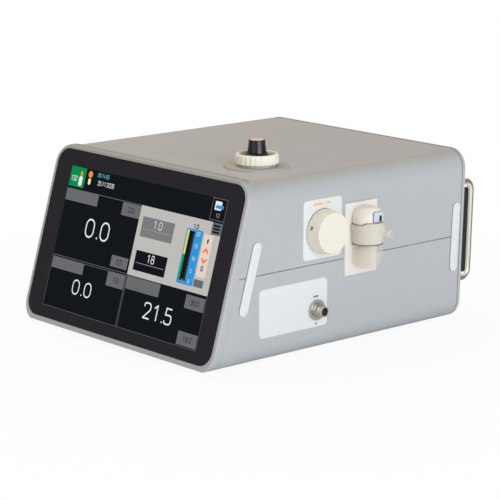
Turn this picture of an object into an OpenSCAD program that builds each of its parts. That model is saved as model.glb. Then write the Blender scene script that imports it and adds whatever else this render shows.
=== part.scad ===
// Bench-top gas dosing and monitoring unit: wedge-fronted casing with a touch display,
// a dose valve on top, a selector, water trap and sensor socket on the right side.
// Millimetres. +Z is up, the display faces -Y, the floor under the feet is Z = 0.

/* [Casing] */
// Width of the casing
body_w = 268; // [266:1:272]
// Height of the casing without its feet
body_h = 157; // [156:1:160]
// Depth of the casing along its top
body_d = 307; // [305:1:312]
// Radius of the four long edges
body_r = 18; // [16:1:20]
// Thickness of the casing walls
wall = 3; // [2.8:0.1:3.2]
// Lean of the front face from upright, in degrees
front_tilt = 16.4; // [15:0.1:17.5]
// Lean of the rear face from upright, in degrees
rear_tilt = 1.8; // [1:0.1:2.4]
// Depth of the front frame behind the front face
frame_d = 8; // [7.5:0.5:9]
// Thickness of the rear panel
panel_t = 3.5; // [3:0.5:4]
// Width of the joint lines at the front frame and the rear panel
joint_gap = 0.4; // [0.2:0.1:0.5]
// Width of the seam between the upper and lower shell
seam_gap = 0.6; // [0.4:0.1:1.2]
// Height of the rubber feet
foot_h = 3; // [2:0.5:5]

/* [Display] */
// Width of the touch glass
glass_w = 259.5; // [257:0.5:260]
// Height of the touch glass, up the slope
glass_h = 155.3; // [153:0.1:155.6]
// Corner radius of the touch glass
glass_r = 14; // [12:1:16]
// Thickness of the touch glass
glass_t = 3; // [2:0.5:4]
// Distance up the slope from the lower front edge to the glass
glass_v = 6.5; // [6:0.1:7.5]
// Width of the display panel behind the glass
panel_w = 229; // [220:1:232]
// Height of the display panel behind the glass
panel_h = 140; // [134:1:142]
// Distance up the slope to the middle of the lit area
lit_v = 82.3; // [82:0.1:84]

/* [Dose valve] */
// Distance of the dose valve to the right of the middle
valve_x = 72.1; // [55:0.1:75]
// Distance of the dose valve behind the lower front edge
valve_y = 107; // [100:0.1:125]
// Diameter of the round plate under the valve
valve_plate_dia = 57.6; // [54:0.1:64]
// Outer diameter of the lock ring
ring_dia = 38.5; // [38:0.5:41]
// Height of the lock ring's top above the casing
ring_top = 12; // [10:0.1:13]
// Diameter of the knob at its top
dose_top_dia = 14.4; // [13:0.1:15]
// Diameter of the skirt disc under the knob
dose_skirt_dia = 28.8; // [27:0.1:29.4]
// Height of the knob's top above the casing
dose_top = 23.9; // [21:0.1:25]

/* [Selector] */
// Distance of the selector behind the lower front edge
selector_y = 127.5; // [126:0.1:129]
// Height of the selector above the casing's underside
selector_z = 106.9; // [105:0.1:108]
// Diameter of the selector knob at its base
selector_base_dia = 39; // [37:0.5:41]
// Diameter of the selector knob at its face
selector_face_dia = 35; // [33:0.5:36]
// Height of the selector knob's face above the casing's side
selector_reach = 14.5; // [13:0.5:16]

/* [Water trap] */
// Distance of the trap behind the lower front edge
trap_y = 172.6; // [172:0.1:176]
// Height of the middle of the trap's plate
trap_plate_z = 95.3; // [95:0.1:97]
// Radius of the trap's rounded front
trap_r = 13.9; // [13:0.1:14]
// Distance of the trap's axis from the casing's side
trap_axis = 9.5; // [9:0.1:10]

/* [Sensor socket] */
// Distance of the sensor socket behind the lower front edge
socket_y = 120.4; // [118:0.1:122]
// Height of the sensor socket above the casing's underside
socket_z = 38.3; // [36:0.1:40]

/* [Rear] */
// Distance of each carrying handle from the middle
handle_x = 117; // [112:1:120]
// Distance between the feet of a handle
handle_pitch = 91; // [80:1:96]
// Reach of a handle's rod behind the rear panel
handle_reach = 27; // [24:0.5:34]
// Diameter of a handle's rod
handle_dia = 6; // [5:0.5:8]

/* [Hidden] */
$fn = 64;
far = 700;                               // longer than anything that is cut
fit = 0.08;                              // radial room of a turning fit
clear = 0.4;                             // room between pieces that move past each other
seam_z = body_h/2;
rear_y = body_d - body_h*tan(rear_tilt); // rear face at the casing's underside
side_x = body_w/2;
glass_mid = glass_v + glass_h/2;
ledge = 5;                               // width of the frame's seat under the glass
frame_lip = 1.1;                         // the frame's underside ends this far above the shell's
frame_brow = 1.5;                        // the frame's top stands this far above the shell's
floor_z = wall;                          // inside face of the lower shell's floor
deck_z = 7;                              // underside of the chassis
deck_t = 1.5;
deck_top = deck_z + deck_t;
pillar_xy = [for (x = [-110, 110], y = [62, 282]) [x, y]];
foot_xy = [for (x = [-98, 98], y = [48, 268]) [x, y]];
label_t = 0.5;
screw_xz = [[-126.5, 30], [126.5, 30], [-126.5, 125], [126.5, 125], [0, 150], [0, 6.5]];
frame_bosses = [for (u = [-122, 122], v = [26, 142]) [u, v]];
fan_xz = [-62, 98];
fan_w = 80;
fan_t = 25;
fan_holes = [for (x = [-35.75, 35.75], z = [-35.75, 35.75]) [x, z]];
lug_h = 3;                               // height of the fan guard's lugs
mains_xz = [-68, 30];
data_xz = [-20, 30];
earth_xz = [3, 30];
gas_xz = [[30, 38], [62, 38]];
barb_xz = [[90, 30], [90, 50]];
speaker_xz = [62, 104];
handle_z = body_h/2;
receptacle_w = 38.8;
receptacle_h = 64.2;
receptacle_t = 2.2;
tray_w = receptacle_w - 5;
tray_h = receptacle_h - 6;
trap_back = receptacle_t + clear;        // the trap's flat back, from the casing's side
nipple_xy = [[-7, 104], [7, 104]];       // the trap's two gas nipples, from the trap's axis
seal_z = [91.2, 91.8];                   // cup seal, bottom and top
port_turn = 25;                          // the sample port points this far to the rear of straight out
port_z = 101;
port_seat = 10.5;                        // the port's seat, from the trap's axis
port_end = 22;
port_rim_r = 3.75;
plate_shift = -0.6;                      // the trap's plate stands a little forward of its axis
flat_y = trap_axis - trap_back;          // the trap's flat back, behind its axis
collar_z = 109.6;                        // height of the collar's upper edge
tongue_z = 111.4;                        // height of the edge's raised front
tongue_x = [-13, -10.4, 6, 9.5];         // where that front starts, is full, and ends
grub_turn = 163;                         // the selector's grub screw, turn and height
grub_h = 5.4;
strip_t = 1.2;                           // how far the side strips stand out
bend_r = 9;                              // the bends of the handle rods, at their middle
socket_at = -9.5;                        // the mains socket's middle, from the inlet's middle
rocker_at = 14.5;                        // the rocker's middle, from the inlet's middle
rocker_lean = 8;                         // the rocker's lean at rest, in degrees
inlet_face = 2.5;                        // how far the mains inlet's face stands out
rocker_depth = 3;                        // the rocker's pivot, below the inlet's face
board_z = 60;
board_x = [-118, -26];
board_y = [62, 262];
post_xy = [for (x = [board_x[0] + 4, board_x[1] - 4], y = [board_y[0] + 4, board_y[1] - 4]) [x, y]];
manifold_y = [168, 250];
valve_row = [182, 209, 236];             // the three solenoid valves along the manifold
cell_x = [28, 62, 96];
right_end = side_x + trap_axis + port_end*cos(port_turn) + port_rim_r*sin(port_turn);
left_end = -side_x - strip_t;
rear_end = rear_y + (handle_z + handle_pitch/2 - bend_r)*sin(rear_tilt)
    + (handle_reach - bend_r)*cos(rear_tilt) + bend_r + handle_dia/2;
mid_x = (left_end + right_end)/2;
front_end = frame_lip*tan(front_tilt);
mid_y = (front_end + rear_end)/2;

// Casing coordinates: x from the middle, y from the lower front edge, z from the underside.
// The part's own origin is on the floor, under the middle of its overall box.
module in_body() { translate([-mid_x, -mid_y, foot_h]) children(); }

// Front coordinates: x to the right, y up the slope, z out of the display
module on_front() { rotate([90 - front_tilt, 0, 0]) children(); }

// Rear coordinates: x keeps the casing's sign, y up, z out of the rear panel
module on_rear() {
    translate([0, rear_y, 0]) rotate([90 + rear_tilt, 0, 180]) mirror([1, 0, 0]) children();
}

// Right side coordinates: x to the rear, y up, z out of the side
module on_side() { translate([side_x, 0, 0]) rotate([90, 0, 90]) children(); }

module rounded_rect(w, h, r) {
    square([w - 2*r, h], center = true);
    square([w, h - 2*r], center = true);
    for (sx = [-1, 1], sy = [-1, 1]) translate([sx*(w/2 - r), sy*(h/2 - r)]) circle(r);
}

module rounded_plate(w, h, r, t) { linear_extrude(t) rounded_rect(w, h, r); }

module box_on(size, at = [0, 0, 0]) {
    translate([at[0] - size[0]/2, at[1] - size[1]/2, at[2]]) cube(size);
}

module casing_outline(inset) {
    translate([0, body_h/2]) rounded_rect(body_w - 2*inset, body_h - 2*inset, body_r - inset);
}

module casing_block(inset) {
    translate([0, body_d + 20, 0]) rotate([90, 0, 0]) linear_extrude(body_d + 40) casing_outline(inset);
}

module ahead_of_front(depth) { on_front() translate([-far/2, -far/2, -depth]) cube(far); }
module behind_front(depth) { on_front() translate([-far/2, -far/2, -depth - far]) cube(far); }
module behind_rear(depth) { on_rear() translate([-far/2, -far/2, -depth]) cube(far); }
module ahead_of_rear(depth) { on_rear() translate([-far/2, -far/2, -depth - far]) cube(far); }
module above(z) { translate([-far/2, -far/2, z]) cube(far); }
module below(z) { translate([-far/2, -far/2, z - far]) cube(far); }

module casing_ring() {
    difference() {
        casing_block(0);
        casing_block(wall);
        ahead_of_front(frame_d + joint_gap);
        behind_rear(panel_t + joint_gap);
    }
}

// Bosses that take the rear panel's screws, for the upper or the lower shell
module rear_bosses(from, to) {
    boss_r = 5;
    boss_l = 14;
    tap_r = 1.5;
    for (p = screw_xz) {
        if (p[1] > from && p[1] < to) {
            intersection() {
                casing_block(wall/2);
                on_rear() translate([p[0], p[1], -panel_t - joint_gap - boss_l]) difference() {
                    cylinder(h = boss_l, r = boss_r);
                    translate([0, 0, 2]) cylinder(h = boss_l, r = tap_r);
                }
            }
        }
    }
}

module trap_opening() {
    on_side() translate([trap_y, trap_plate_z, -wall - 4])
        rounded_plate(tray_w + 0.6, tray_h + 0.6, 2, wall + 8);
}

module front_frame() {
    spigot_t = 2;
    spigot_l = 6;
    boss_r = 4;
    boss_end = 11;
    slide_room = 0.25;
    color([0.66, 0.66, 0.64]) in_body() difference() {
        union() {
            difference() {
                for (up = [0, frame_brow]) translate([0, 0, up]) casing_block(0);
                ahead_of_front(0);
                behind_front(frame_d);
            }
            difference() {
                casing_block(wall + joint_gap);
                casing_block(wall + joint_gap + spigot_t);
                ahead_of_front(frame_d - 0.5);
                behind_front(frame_d + spigot_l);
            }
        }
        on_front() translate([0, glass_mid, -glass_t])
            rounded_plate(glass_w + 2*slide_room, glass_h + 2*slide_room, glass_r, far);
        difference() {
            on_front() translate([0, glass_mid, -frame_d - 1])
                rounded_plate(glass_w - 2*ledge, glass_h - 2*ledge, glass_r - ledge, frame_d + 1);
            on_front() for (p = frame_bosses) translate([p[0], p[1], -boss_end])
                cylinder(h = boss_end - glass_t, r = boss_r);
        }
        on_front() for (p = frame_bosses) translate([p[0], p[1], -boss_end]) cylinder(h = 7, r = 1.3);
        below(frame_lip);
    }
}

module upper_shell() {
    color([0.74, 0.75, 0.76]) in_body() difference() {
        union() {
            casing_ring();
            rear_bosses(seam_z, body_h);
        }
        below(seam_z + seam_gap/2);
        translate([valve_x, valve_y, body_h - wall - 1]) cylinder(h = wall + 2, r = 6.6);
        on_side() translate([selector_y, selector_z, -wall - 1]) cylinder(h = wall + 2, r = 5.1);
        trap_opening();
    }
}

module lower_shell() {
    tongue_h = 4;
    tongue_root = 6;
    tongue_t = 1.2;
    slot = [60, 3.5];
    color([0.72, 0.73, 0.75]) in_body() difference() {
        union() {
            difference() {
                union() {
                    casing_ring();
                    rear_bosses(0, seam_z);
                }
                above(seam_z - seam_gap/2);
            }
            // Tongue that keeps the shells in line, inside the seam
            difference() {
                union() {
                    difference() {
                        casing_block(wall - 0.5);
                        casing_block(wall + 0.2 + tongue_t);
                        above(seam_z - seam_gap/2);
                    }
                    difference() {
                        casing_block(wall + 0.2);
                        casing_block(wall + 0.2 + tongue_t);
                        above(seam_z + tongue_h);
                    }
                }
                below(seam_z - tongue_root);
                ahead_of_front(frame_d + 10);
                behind_rear(panel_t + joint_gap + 16);
            }
            for (p = pillar_xy) translate([p[0], p[1], floor_z - 1])
                cylinder(h = deck_z - floor_z + 1, r = 5);
        }
        for (p = pillar_xy) translate([p[0], p[1], -1]) {
            cylinder(h = deck_z + 2, r = 1.6);
            cylinder(h = 3.2, r = 3.4);
        }
        // Air slots in the floor
        for (i = [-4 : 4]) translate([i*9 - 60, 110, wall/2]) rotate([0, 0, 90])
            translate([0, 0, -wall]) rounded_plate(slot[0], slot[1], slot[1]/2 - 0.01, 2*wall);
        on_side() translate([socket_y, socket_z, -wall - 1]) cylinder(h = wall + 2, r = 7.6);
        trap_opening();
    }
}

module rear_panel() {
    color([0.7, 0.71, 0.72]) in_body() difference() {
        casing_block(0);
        behind_rear(0);
        ahead_of_rear(panel_t);
        on_rear() {
            translate([fan_xz[0], fan_xz[1], -panel_t - 1]) cylinder(h = panel_t + 2, r = fan_w/2 - 2);
            for (p = fan_holes) translate([fan_xz[0] + p[0], fan_xz[1] + p[1], -panel_t - 1])
                cylinder(h = panel_t + 2, r = 2.2);
            translate([mains_xz[0], mains_xz[1], -panel_t - 1]) rounded_plate(47.4, 27.4, 1, panel_t + 2);
            translate([data_xz[0], data_xz[1], -panel_t - 1]) rounded_plate(16.4, 14.4, 0.5, panel_t + 2);
            translate([earth_xz[0], earth_xz[1], -panel_t - 1]) cylinder(h = panel_t + 2, r = 2.7);
            for (p = gas_xz) translate([p[0], p[1], -panel_t - 1]) cylinder(h = panel_t + 2, r = 5.6);
            for (p = barb_xz) translate([p[0], p[1], -panel_t - 1]) cylinder(h = panel_t + 2, r = 4.1);
            for (p = screw_xz) translate([p[0], p[1], -panel_t - 1]) cylinder(h = panel_t + 2, r = 1.6);
            for (sx = [-1, 1], sz = [-1, 1])
                translate([sx*handle_x, handle_z + sz*handle_pitch/2, -panel_t - 1])
                    cylinder(h = panel_t + 2, r = 2.2);
            // Sound holes in front of the speaker
            for (ring = [0 : 2], k = [0 : max(0, 6*ring - 1)])
                translate([speaker_xz[0], speaker_xz[1], -panel_t - 1])
                    rotate([0, 0, ring == 0 ? 0 : k*60/ring]) translate([ring*6.5, 0, 0])
                        cylinder(h = panel_t + 2, r = 1.6);
        }
    }
}

module rubber_feet() {
    foot_r = 9;
    color([0.12, 0.12, 0.13]) in_body() for (p = foot_xy) translate([p[0], p[1], -foot_h])
        cylinder(h = foot_h, r1 = foot_r - 0.8, r2 = foot_r);
}

module chassis() {
    lip_h = 14;
    front_y = 50;
    back_y = 292;
    half_w = 122;
    color([0.7, 0.72, 0.74]) in_body() difference() {
        union() {
            translate([-half_w, front_y, deck_z]) cube([2*half_w, back_y - front_y, deck_t]);
            for (sx = [-1, 1]) translate([sx*half_w - (sx > 0 ? deck_t : 0), front_y, deck_z])
                cube([deck_t, back_y - front_y, lip_h]);
        }
        for (p = pillar_xy) translate([p[0], p[1], deck_z - 1]) cylinder(h = deck_t + 2, r = 1.6);
        for (x = [-60 : 15 : 45]) translate([x, 144, deck_z - 1]) cylinder(h = deck_t + 2, r = 3.5);
        translate([-7, back_y - 10, deck_z - 1]) cube([14, 20, deck_t + 2]);
    }
}

module base_screws() {
    color("silver") in_body() for (p = pillar_xy) translate([p[0], p[1], 0.2]) {
        cylinder(h = 2, r = 3);
        cylinder(h = deck_top - 0.2, r = 1.5);
    }
}

// Button-headed screw with a hexagon socket, its shank running down from the origin
module screw(head_r, shank_r, length) {
    head_h = 1.8;
    difference() {
        union() {
            cylinder(h = head_h, r1 = head_r, r2 = head_r - 0.7);
            translate([0, 0, -length]) cylinder(h = length + 0.1, r = shank_r);
        }
        translate([0, 0, 0.7]) cylinder(h = head_h, r = head_r*0.4, $fn = 6);
    }
}

module rear_screws() {
    color("silver") in_body() on_rear() {
        for (p = screw_xz) translate([p[0], p[1], 0]) screw(2.9, 1.45, 11);
        for (p = fan_holes) translate([fan_xz[0] + p[0], fan_xz[1] + p[1], lug_h]) screw(3.6, 2.1, 18);
        // The handles are held from inside
        for (sx = [-1, 1], sz = [-1, 1])
            translate([sx*handle_x, handle_z + sz*handle_pitch/2, -panel_t - 2.6]) {
                cylinder(h = 2.6, r = 3.5);
                cylinder(h = panel_t + 2.6 + 10, r = 1.65);
            }
    }
}

// Slim cover strips over the casing's side joints, two on each side
module strip(at, lean) {
    strip_w = 9.3;
    strip_l = 64;
    translate([at[0], at[1], 0]) rotate([0, 0, -lean])
        rounded_plate(strip_w, strip_l, strip_w/2 - 0.01, strip_t);
}

module trim_strips() {
    front_at = [44.4, 76.7];
    rear_at = [294, 77.7];
    color([0.95, 0.96, 0.96]) in_body() for (side = [0, 1]) mirror([side, 0, 0]) on_side() {
        strip(front_at, front_tilt);
        strip(rear_at, rear_tilt + 1);
    }
}

module selector_label() {
    color([0.93, 0.94, 0.95]) in_body() on_side() difference() {
        translate([127.4, 109.2, 0]) rounded_plate(45.2, 52.3, 4, label_t);
        translate([selector_y, selector_z, -1]) cylinder(h = 3, r = 5.1);
    }
}

module socket_label() {
    color([0.93, 0.94, 0.95]) in_body() on_side() difference() {
        translate([93.9, 44.3, 0]) rounded_plate(78.8, 42.4, 4, label_t);
        translate([socket_y, socket_z, -1]) cylinder(h = 3, r = 7.6);
    }
}

module touch_glass() {
    color([0.12, 0.12, 0.13]) in_body() on_front() translate([0, glass_mid, -glass_t])
        rounded_plate(glass_w, glass_h, glass_r, glass_t);
}

module display_panel() {
    depth = 5.5;
    color([0.06, 0.08, 0.1]) in_body() on_front() translate([0, lit_v, -glass_t - 0.2 - depth])
        rounded_plate(panel_w, panel_h, 2, depth);
}

module display_bracket() {
    bracket_z = -11;
    sheet = 1.2;
    post_h = 4;
    color([0.72, 0.74, 0.76]) in_body() on_front() difference() {
        union() {
            translate([0, 84, bracket_z - sheet]) rounded_plate(252, 130, 4, sheet);
            for (u = [-50, 50], v = [55, 115]) translate([u, v, bracket_z - sheet - post_h])
                cylinder(h = post_h + 0.5, r = 2.5);
        }
        translate([0, 84, bracket_z - sheet - 1]) rounded_plate(70, 40, 4, sheet + 2);
        for (p = frame_bosses) translate([p[0], p[1], bracket_z - sheet - 1])
            cylinder(h = sheet + 2, r = 1.4);
    }
}

module bracket_screws() {
    color("silver") in_body() on_front() for (p = frame_bosses) translate([p[0], p[1], -14.2]) {
        cylinder(h = 2, r = 2.6);
        cylinder(h = 8, r = 1.25);
    }
}

module display_board() {
    color([0.1, 0.35, 0.2]) in_body() on_front() translate([0, 85, -17.8]) {
        rounded_plate(120, 80, 2, 1.6);
        box_on([30, 20, 3], [-20, 5, -3]);
        box_on([18, 18, 2], [25, -12, -2]);
        box_on([40, 5, 5], [0, 33, -5]);
    }
}

module valve_plate() {
    hub_r = 15;
    hub_top = 7.5;
    color([0.66, 0.66, 0.64]) in_body() translate([valve_x, valve_y, body_h]) difference() {
        union() {
            cylinder(h = 0.4, r = valve_plate_dia/2 + 0.6);
            cylinder(h = 1.2, r = valve_plate_dia/2);
            cylinder(h = 3.2, r = 17); // the lock ring sits on this step
            cylinder(h = hub_top, r = hub_r);
        }
        translate([0, 0, -1]) cylinder(h = 20, r = 6.6);
        translate([0, 0, 3]) cylinder(h = 20, r = 10.6);
    }
}

module lock_ring() {
    grooves = 26;
    groove_r = 1.2;
    bottom = 3.4;
    color([0.95, 0.95, 0.88]) in_body() translate([valve_x, valve_y, body_h]) difference() {
        rotate_extrude() polygon([[15 + fit, bottom], [ring_dia/2 - 0.6, bottom],
            [ring_dia/2, bottom + 0.6], [ring_dia/2, ring_top - 1.5], [ring_dia/2 - 1.5, ring_top],
            [ring_dia/2 - 3, ring_top], [15 + fit, ring_top - 2]]);
        for (k = [0 : grooves - 1]) rotate([0, 0, k*360/grooves])
            translate([ring_dia/2 + 0.6, 0, bottom - 1]) cylinder(h = ring_top, r = groove_r);
    }
}

module dose_knob() {
    bottom = 8.1;
    foot_r = 10.6;
    waist_r = 8.3;
    color([0.08, 0.08, 0.09]) in_body() translate([valve_x, valve_y, body_h]) difference() {
        rotate_extrude() polygon(concat(
            [[0, bottom], [dose_skirt_dia/2, bottom], [dose_skirt_dia/2, bottom + 1.2]],
            // The foot sweeps up into the waist on a quarter of an ellipse
            [for (a = [0 : 15 : 90]) [foot_r - (foot_r - waist_r)*sin(a), bottom + 2.4 + 3*(1 - cos(a))]],
            [[dose_top_dia/2, dose_top - 0.5], [dose_top_dia/2 - 0.5, dose_top], [0, dose_top]]));
        translate([0, 0, dose_top - 0.8]) cylinder(h = 2, r = 6.35);
        translate([0, 0, bottom - 1]) cylinder(h = 10, r = 3);
    }
}

module knob_cap() {
    cap_r = 6.3;
    dome_h = 0.6;
    color([0.95, 0.72, 0.52]) in_body() translate([valve_x, valve_y, body_h + dose_top - 0.8])
        rotate_extrude() polygon(concat([[0, 0], [cap_r, 0]],
            [for (a = [0 : 10 : 90]) [cap_r*cos(a), 0.8 + dome_h*sin(a)]]));
}

module valve_stem() {
    color("silver") in_body() translate([valve_x, valve_y, body_h - 28]) {
        cylinder(h = 28 + 16.5, r = 3);
        translate([0, 0, -6]) cylinder(h = 6.1, r1 = 0.6, r2 = 2.2);
    }
}

module needle_valve() {
    color([0.75, 0.65, 0.35]) in_body() translate([valve_x, valve_y, body_h]) difference() {
        union() {
            translate([0, 0, -42]) cylinder(h = 42 - wall, r = 13);
            translate([0, 0, -wall - 0.1]) cylinder(h = wall + 6, r = 6.5);
            for (a = [0, 180]) rotate([0, 0, a]) translate([0, 0, -30]) rotate([0, 90, 0])
                cylinder(h = 20, r = 3.5);
        }
        translate([0, 0, -36]) cylinder(h = 60, r = 3 + fit);
    }
}

module valve_nut() {
    color("silver") in_body() translate([valve_x, valve_y, body_h + 3]) difference() {
        cylinder(h = 2.6, r = 9.8, $fn = 6);
        translate([0, 0, -1]) cylinder(h = 6, r = 6.55);
    }
}

module at_selector() { in_body() on_side() translate([selector_y, selector_z, 0]) children(); }

module selector_knob() {
    bottom = 1;
    edge = 1;
    nut_room = 2.4; // height of the recess over the bush's hexagon
    color([0.94, 0.91, 0.85]) at_selector() difference() {
        rotate_extrude() polygon(concat(
            [[0, bottom], [selector_base_dia/2 - 0.5, bottom], [selector_base_dia/2, bottom + 0.5],
                [selector_base_dia/2, bottom + 2.8]],
            [for (a = [0 : 15 : 90]) [selector_face_dia/2 - edge*(1 - cos(a)),
                selector_reach - edge*(1 - sin(a))]],
            [[0, selector_reach]]));
        cylinder(h = nut_room, r = 8.6);
        cylinder(h = 11, r = 3);
        rotate([0, 0, grub_turn]) translate([0, 0, grub_h]) rotate([0, 90, 0]) cylinder(h = 40, r = 2);
    }
}

module selector_grub() {
    color([0.2, 0.2, 0.2]) at_selector() rotate([0, 0, grub_turn]) translate([3.05, 0, grub_h])
        rotate([0, 90, 0]) difference() {
            cylinder(h = 9, r = 1.95);
            translate([0, 0, 6]) cylinder(h = 5, r = 1.1, $fn = 6);
        }
}

module selector_shaft() {
    color("silver") at_selector() translate([0, 0, -26]) cylinder(h = 26 + 10.8, r = 3);
}

module selector_bush() {
    color([0.75, 0.65, 0.35]) at_selector() difference() {
        union() {
            translate([0, 0, label_t]) cylinder(h = 1.5, r = 8, $fn = 6);
            translate([0, 0, -wall - 4]) cylinder(h = wall + 4.6, r = 5);
        }
        translate([0, 0, -20]) cylinder(h = 40, r = 3 + fit);
    }
}

module selector_valve() {
    size = 40;
    color([0.55, 0.57, 0.6]) at_selector() difference() {
        union() {
            box_on([size, size, 24], [0, 0, -wall - 24]);
            for (x = [-10, 10]) translate([x, -size/2 + 0.5, -wall - 15]) rotate([90, 0, 0])
                cylinder(h = 8, r = 3);
        }
        translate([0, 0, -40]) cylinder(h = 60, r = 3 + fit);
        translate([0, 0, -wall - 4.2]) cylinder(h = 10, r = 5.05);
    }
}

module trap_receptacle() {
    tray_d = 16;
    color([0.91, 0.89, 0.86]) in_body() on_side() difference() {
        union() {
            translate([trap_y + plate_shift, trap_plate_z, 0])
                rounded_plate(receptacle_w, receptacle_h, 0.6, receptacle_t);
            translate([trap_y, trap_plate_z, -tray_d]) rounded_plate(tray_w, tray_h, 2, tray_d + 0.5);
        }
        for (p = nipple_xy) translate([trap_y + p[0], p[1], -10]) cylinder(h = 20, r = 3);
        for (p = nipple_xy) translate([trap_y + p[0], p[1], -tray_d - 1]) cylinder(h = 20, r = 1.2);
    }
}

// Trap coordinates: x to the rear, y out of the casing's side, z up, on the trap's axis
module on_trap() {
    in_body() translate([side_x + trap_axis, trap_y, 0]) rotate([0, 0, -90]) mirror([1, 0, 0]) children();
}

// Round towards the front of the trap, flat at its back
module trap_section(r, flat) {
    intersection() {
        circle(r);
        translate([-far/2, -flat]) square(far);
    }
}

// Sample port coordinates inside the trap's: z along the port, from the trap's axis
module at_port() { translate([0, 0, port_z]) rotate([0, 0, -port_turn]) rotate([-90, 0, 0]) children(); }

// Raised front of the collar's upper edge
module collar_tongue() {
    translate([0, far, 0]) rotate([90, 0, 0]) linear_extrude(far)
        polygon([[tongue_x[0], collar_z - 1], [tongue_x[3], collar_z - 1], [tongue_x[3], collar_z],
            [tongue_x[2], tongue_z], [tongue_x[1], tongue_z], [tongue_x[0], collar_z]]);
}

module above_collar() {
    difference() {
        translate([-far/2, -far/2, collar_z]) cube(far);
        collar_tongue();
    }
}

module below_collar() {
    translate([-far/2, -far/2, collar_z - far]) cube(far);
    collar_tongue();
}

module trap_head() {
    top = 124;
    shoulder = 10;
    brow = 6;
    head_r = trap_r - 0.3;
    color([0.9, 0.86, 0.79]) on_trap() difference() {
        intersection() {
            linear_extrude(top) trap_section(head_r, flat_y);
            // Rounded shoulders, seen from the front and from the side
            translate([0, far/2, 0]) rotate([90, 0, 0]) linear_extrude(far)
                translate([0, top - 40]) rounded_rect(2*head_r, 80, shoulder);
            rotate([90, 0, 90]) translate([0, 0, -far/2]) linear_extrude(far)
                translate([-20, top - 40]) rounded_rect(2*head_r + 40, 80, brow);
        }
        below_collar();
        translate([-5.9, 10.9, collar_z - 4]) cube([30, 10, 15.5]);
    }
}

module trap_label() {
    color([0.78, 0.85, 0.93]) on_trap() translate([-4.3, 10.9, 111.6]) cube([11.6, 0.5, 9]);
}

module trap_collar() {
    ear_at = [12.4, -5.6, 106];
    ear_r = 2.3;
    boss_at = [6.5, 8.35, 103];
    boss_r = 6.2;
    bore_d = 3;
    color([0.8, 0.77, 0.7, 0.8]) on_trap() difference() {
        union() {
            difference() {
                linear_extrude(collar_z + 20) trap_section(trap_r, flat_y);
                below(seal_z[1]);
                above_collar();
            }
            intersection() {
                for (way = [-1, 1]) translate([way*ear_at[0], ear_at[1], ear_at[2]]) sphere(ear_r);
                translate([-far/2, -flat_y, 0]) cube(far);
            }
            translate(boss_at) sphere(boss_r);
            for (p = nipple_xy) translate([p[0], -flat_y + 0.5, p[1]]) rotate([90, 0, 0])
                cylinder(h = 10, r = 2.6);
        }
        translate([0, 0, seal_z[1] - 1]) linear_extrude(bore_d + 1) trap_section(11.4, flat_y - 1.6);
        at_port() translate([0, 0, port_seat]) cylinder(h = 20, r = 3.2);
    }
}

module trap_seal() {
    color([0.25, 0.24, 0.22]) on_trap() difference() {
        translate([0, 0, seal_z[0]]) linear_extrude(seal_z[1] - seal_z[0]) trap_section(trap_r - 0.2, flat_y);
        translate([0, 0, seal_z[0] - 1]) linear_extrude(4) trap_section(11.4, flat_y - 1.6);
    }
}

module trap_cup() {
    cup_r = trap_r - 0.3;
    bottom = 69.6;
    round_r = 7;
    skin = 1.3;
    rim_z = seal_z[0] - 0.15;
    neck_top = 94.6;
    color([0.85, 0.83, 0.75, 0.5]) on_trap() difference() {
        union() {
            intersection() {
                translate([0, 0, bottom]) rotate_extrude() intersection() {
                    translate([0, 20]) rounded_rect(2*cup_r, 40, round_r);
                    square([cup_r, rim_z - bottom]);
                }
                linear_extrude(far) trap_section(cup_r, flat_y);
            }
            translate([0, 0, seal_z[0] - 4]) linear_extrude(neck_top - seal_z[0] + 4)
                trap_section(11, flat_y - 2);
        }
        intersection() {
            translate([0, 0, bottom + skin]) rotate_extrude() intersection() {
                translate([0, 20]) rounded_rect(2*(cup_r - skin), 40, round_r - skin);
                square([cup_r - skin, rim_z - bottom - 5]);
            }
            linear_extrude(far) trap_section(cup_r, flat_y - skin);
        }
        translate([0, 0, seal_z[0] - 6]) linear_extrude(far) trap_section(9.7, flat_y - 3.3);
    }
}

module sample_port() {
    rim_h = 2.6;
    bore_d = 5.6;
    color([0.9, 0.87, 0.8]) on_trap() at_port() difference() {
        union() {
            translate([0, 0, port_seat]) cylinder(h = port_end - port_seat, r = 3);
            translate([0, 0, port_end - rim_h]) cylinder(h = rim_h, r = port_rim_r);
        }
        translate([0, 0, port_end - bore_d]) cylinder(h = 10, r = 2.1);
    }
}

module at_socket() { in_body() on_side() translate([socket_y, socket_z, 0]) children(); }

module socket_shell() {
    nose_end = 11.5;
    color([0.72, 0.7, 0.66]) at_socket() difference() {
        union() {
            translate([0, 0, label_t]) cylinder(h = 2.2, r = 9.1);
            translate([0, 0, -12]) cylinder(h = 14, r = 7.5);
            translate([0, 0, 2]) cylinder(h = 2.2, r = 6.6);
            translate([0, 0, 4]) cylinder(h = 4.6, r = 5.3);
            translate([0, 0, 8]) cylinder(h = nose_end - 8, r = 4.8);
        }
        translate([0, 0, -13]) cylinder(h = 40, r = 3.6);
    }
}

module socket_insert() {
    color([0.1, 0.1, 0.1]) at_socket() {
        translate([0, 0, -14]) cylinder(h = 20, r = 3.6);
        for (k = [0 : 4]) rotate([0, 0, k*72]) translate([1.8, 0, 5.5]) cylinder(h = 4, r = 0.45);
    }
}

module socket_nut() {
    color("silver") at_socket() translate([0, 0, -wall - 3]) difference() {
        cylinder(h = 3, r = 11, $fn = 6);
        translate([0, 0, -1]) cylinder(h = 6, r = 7.55);
    }
}

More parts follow.
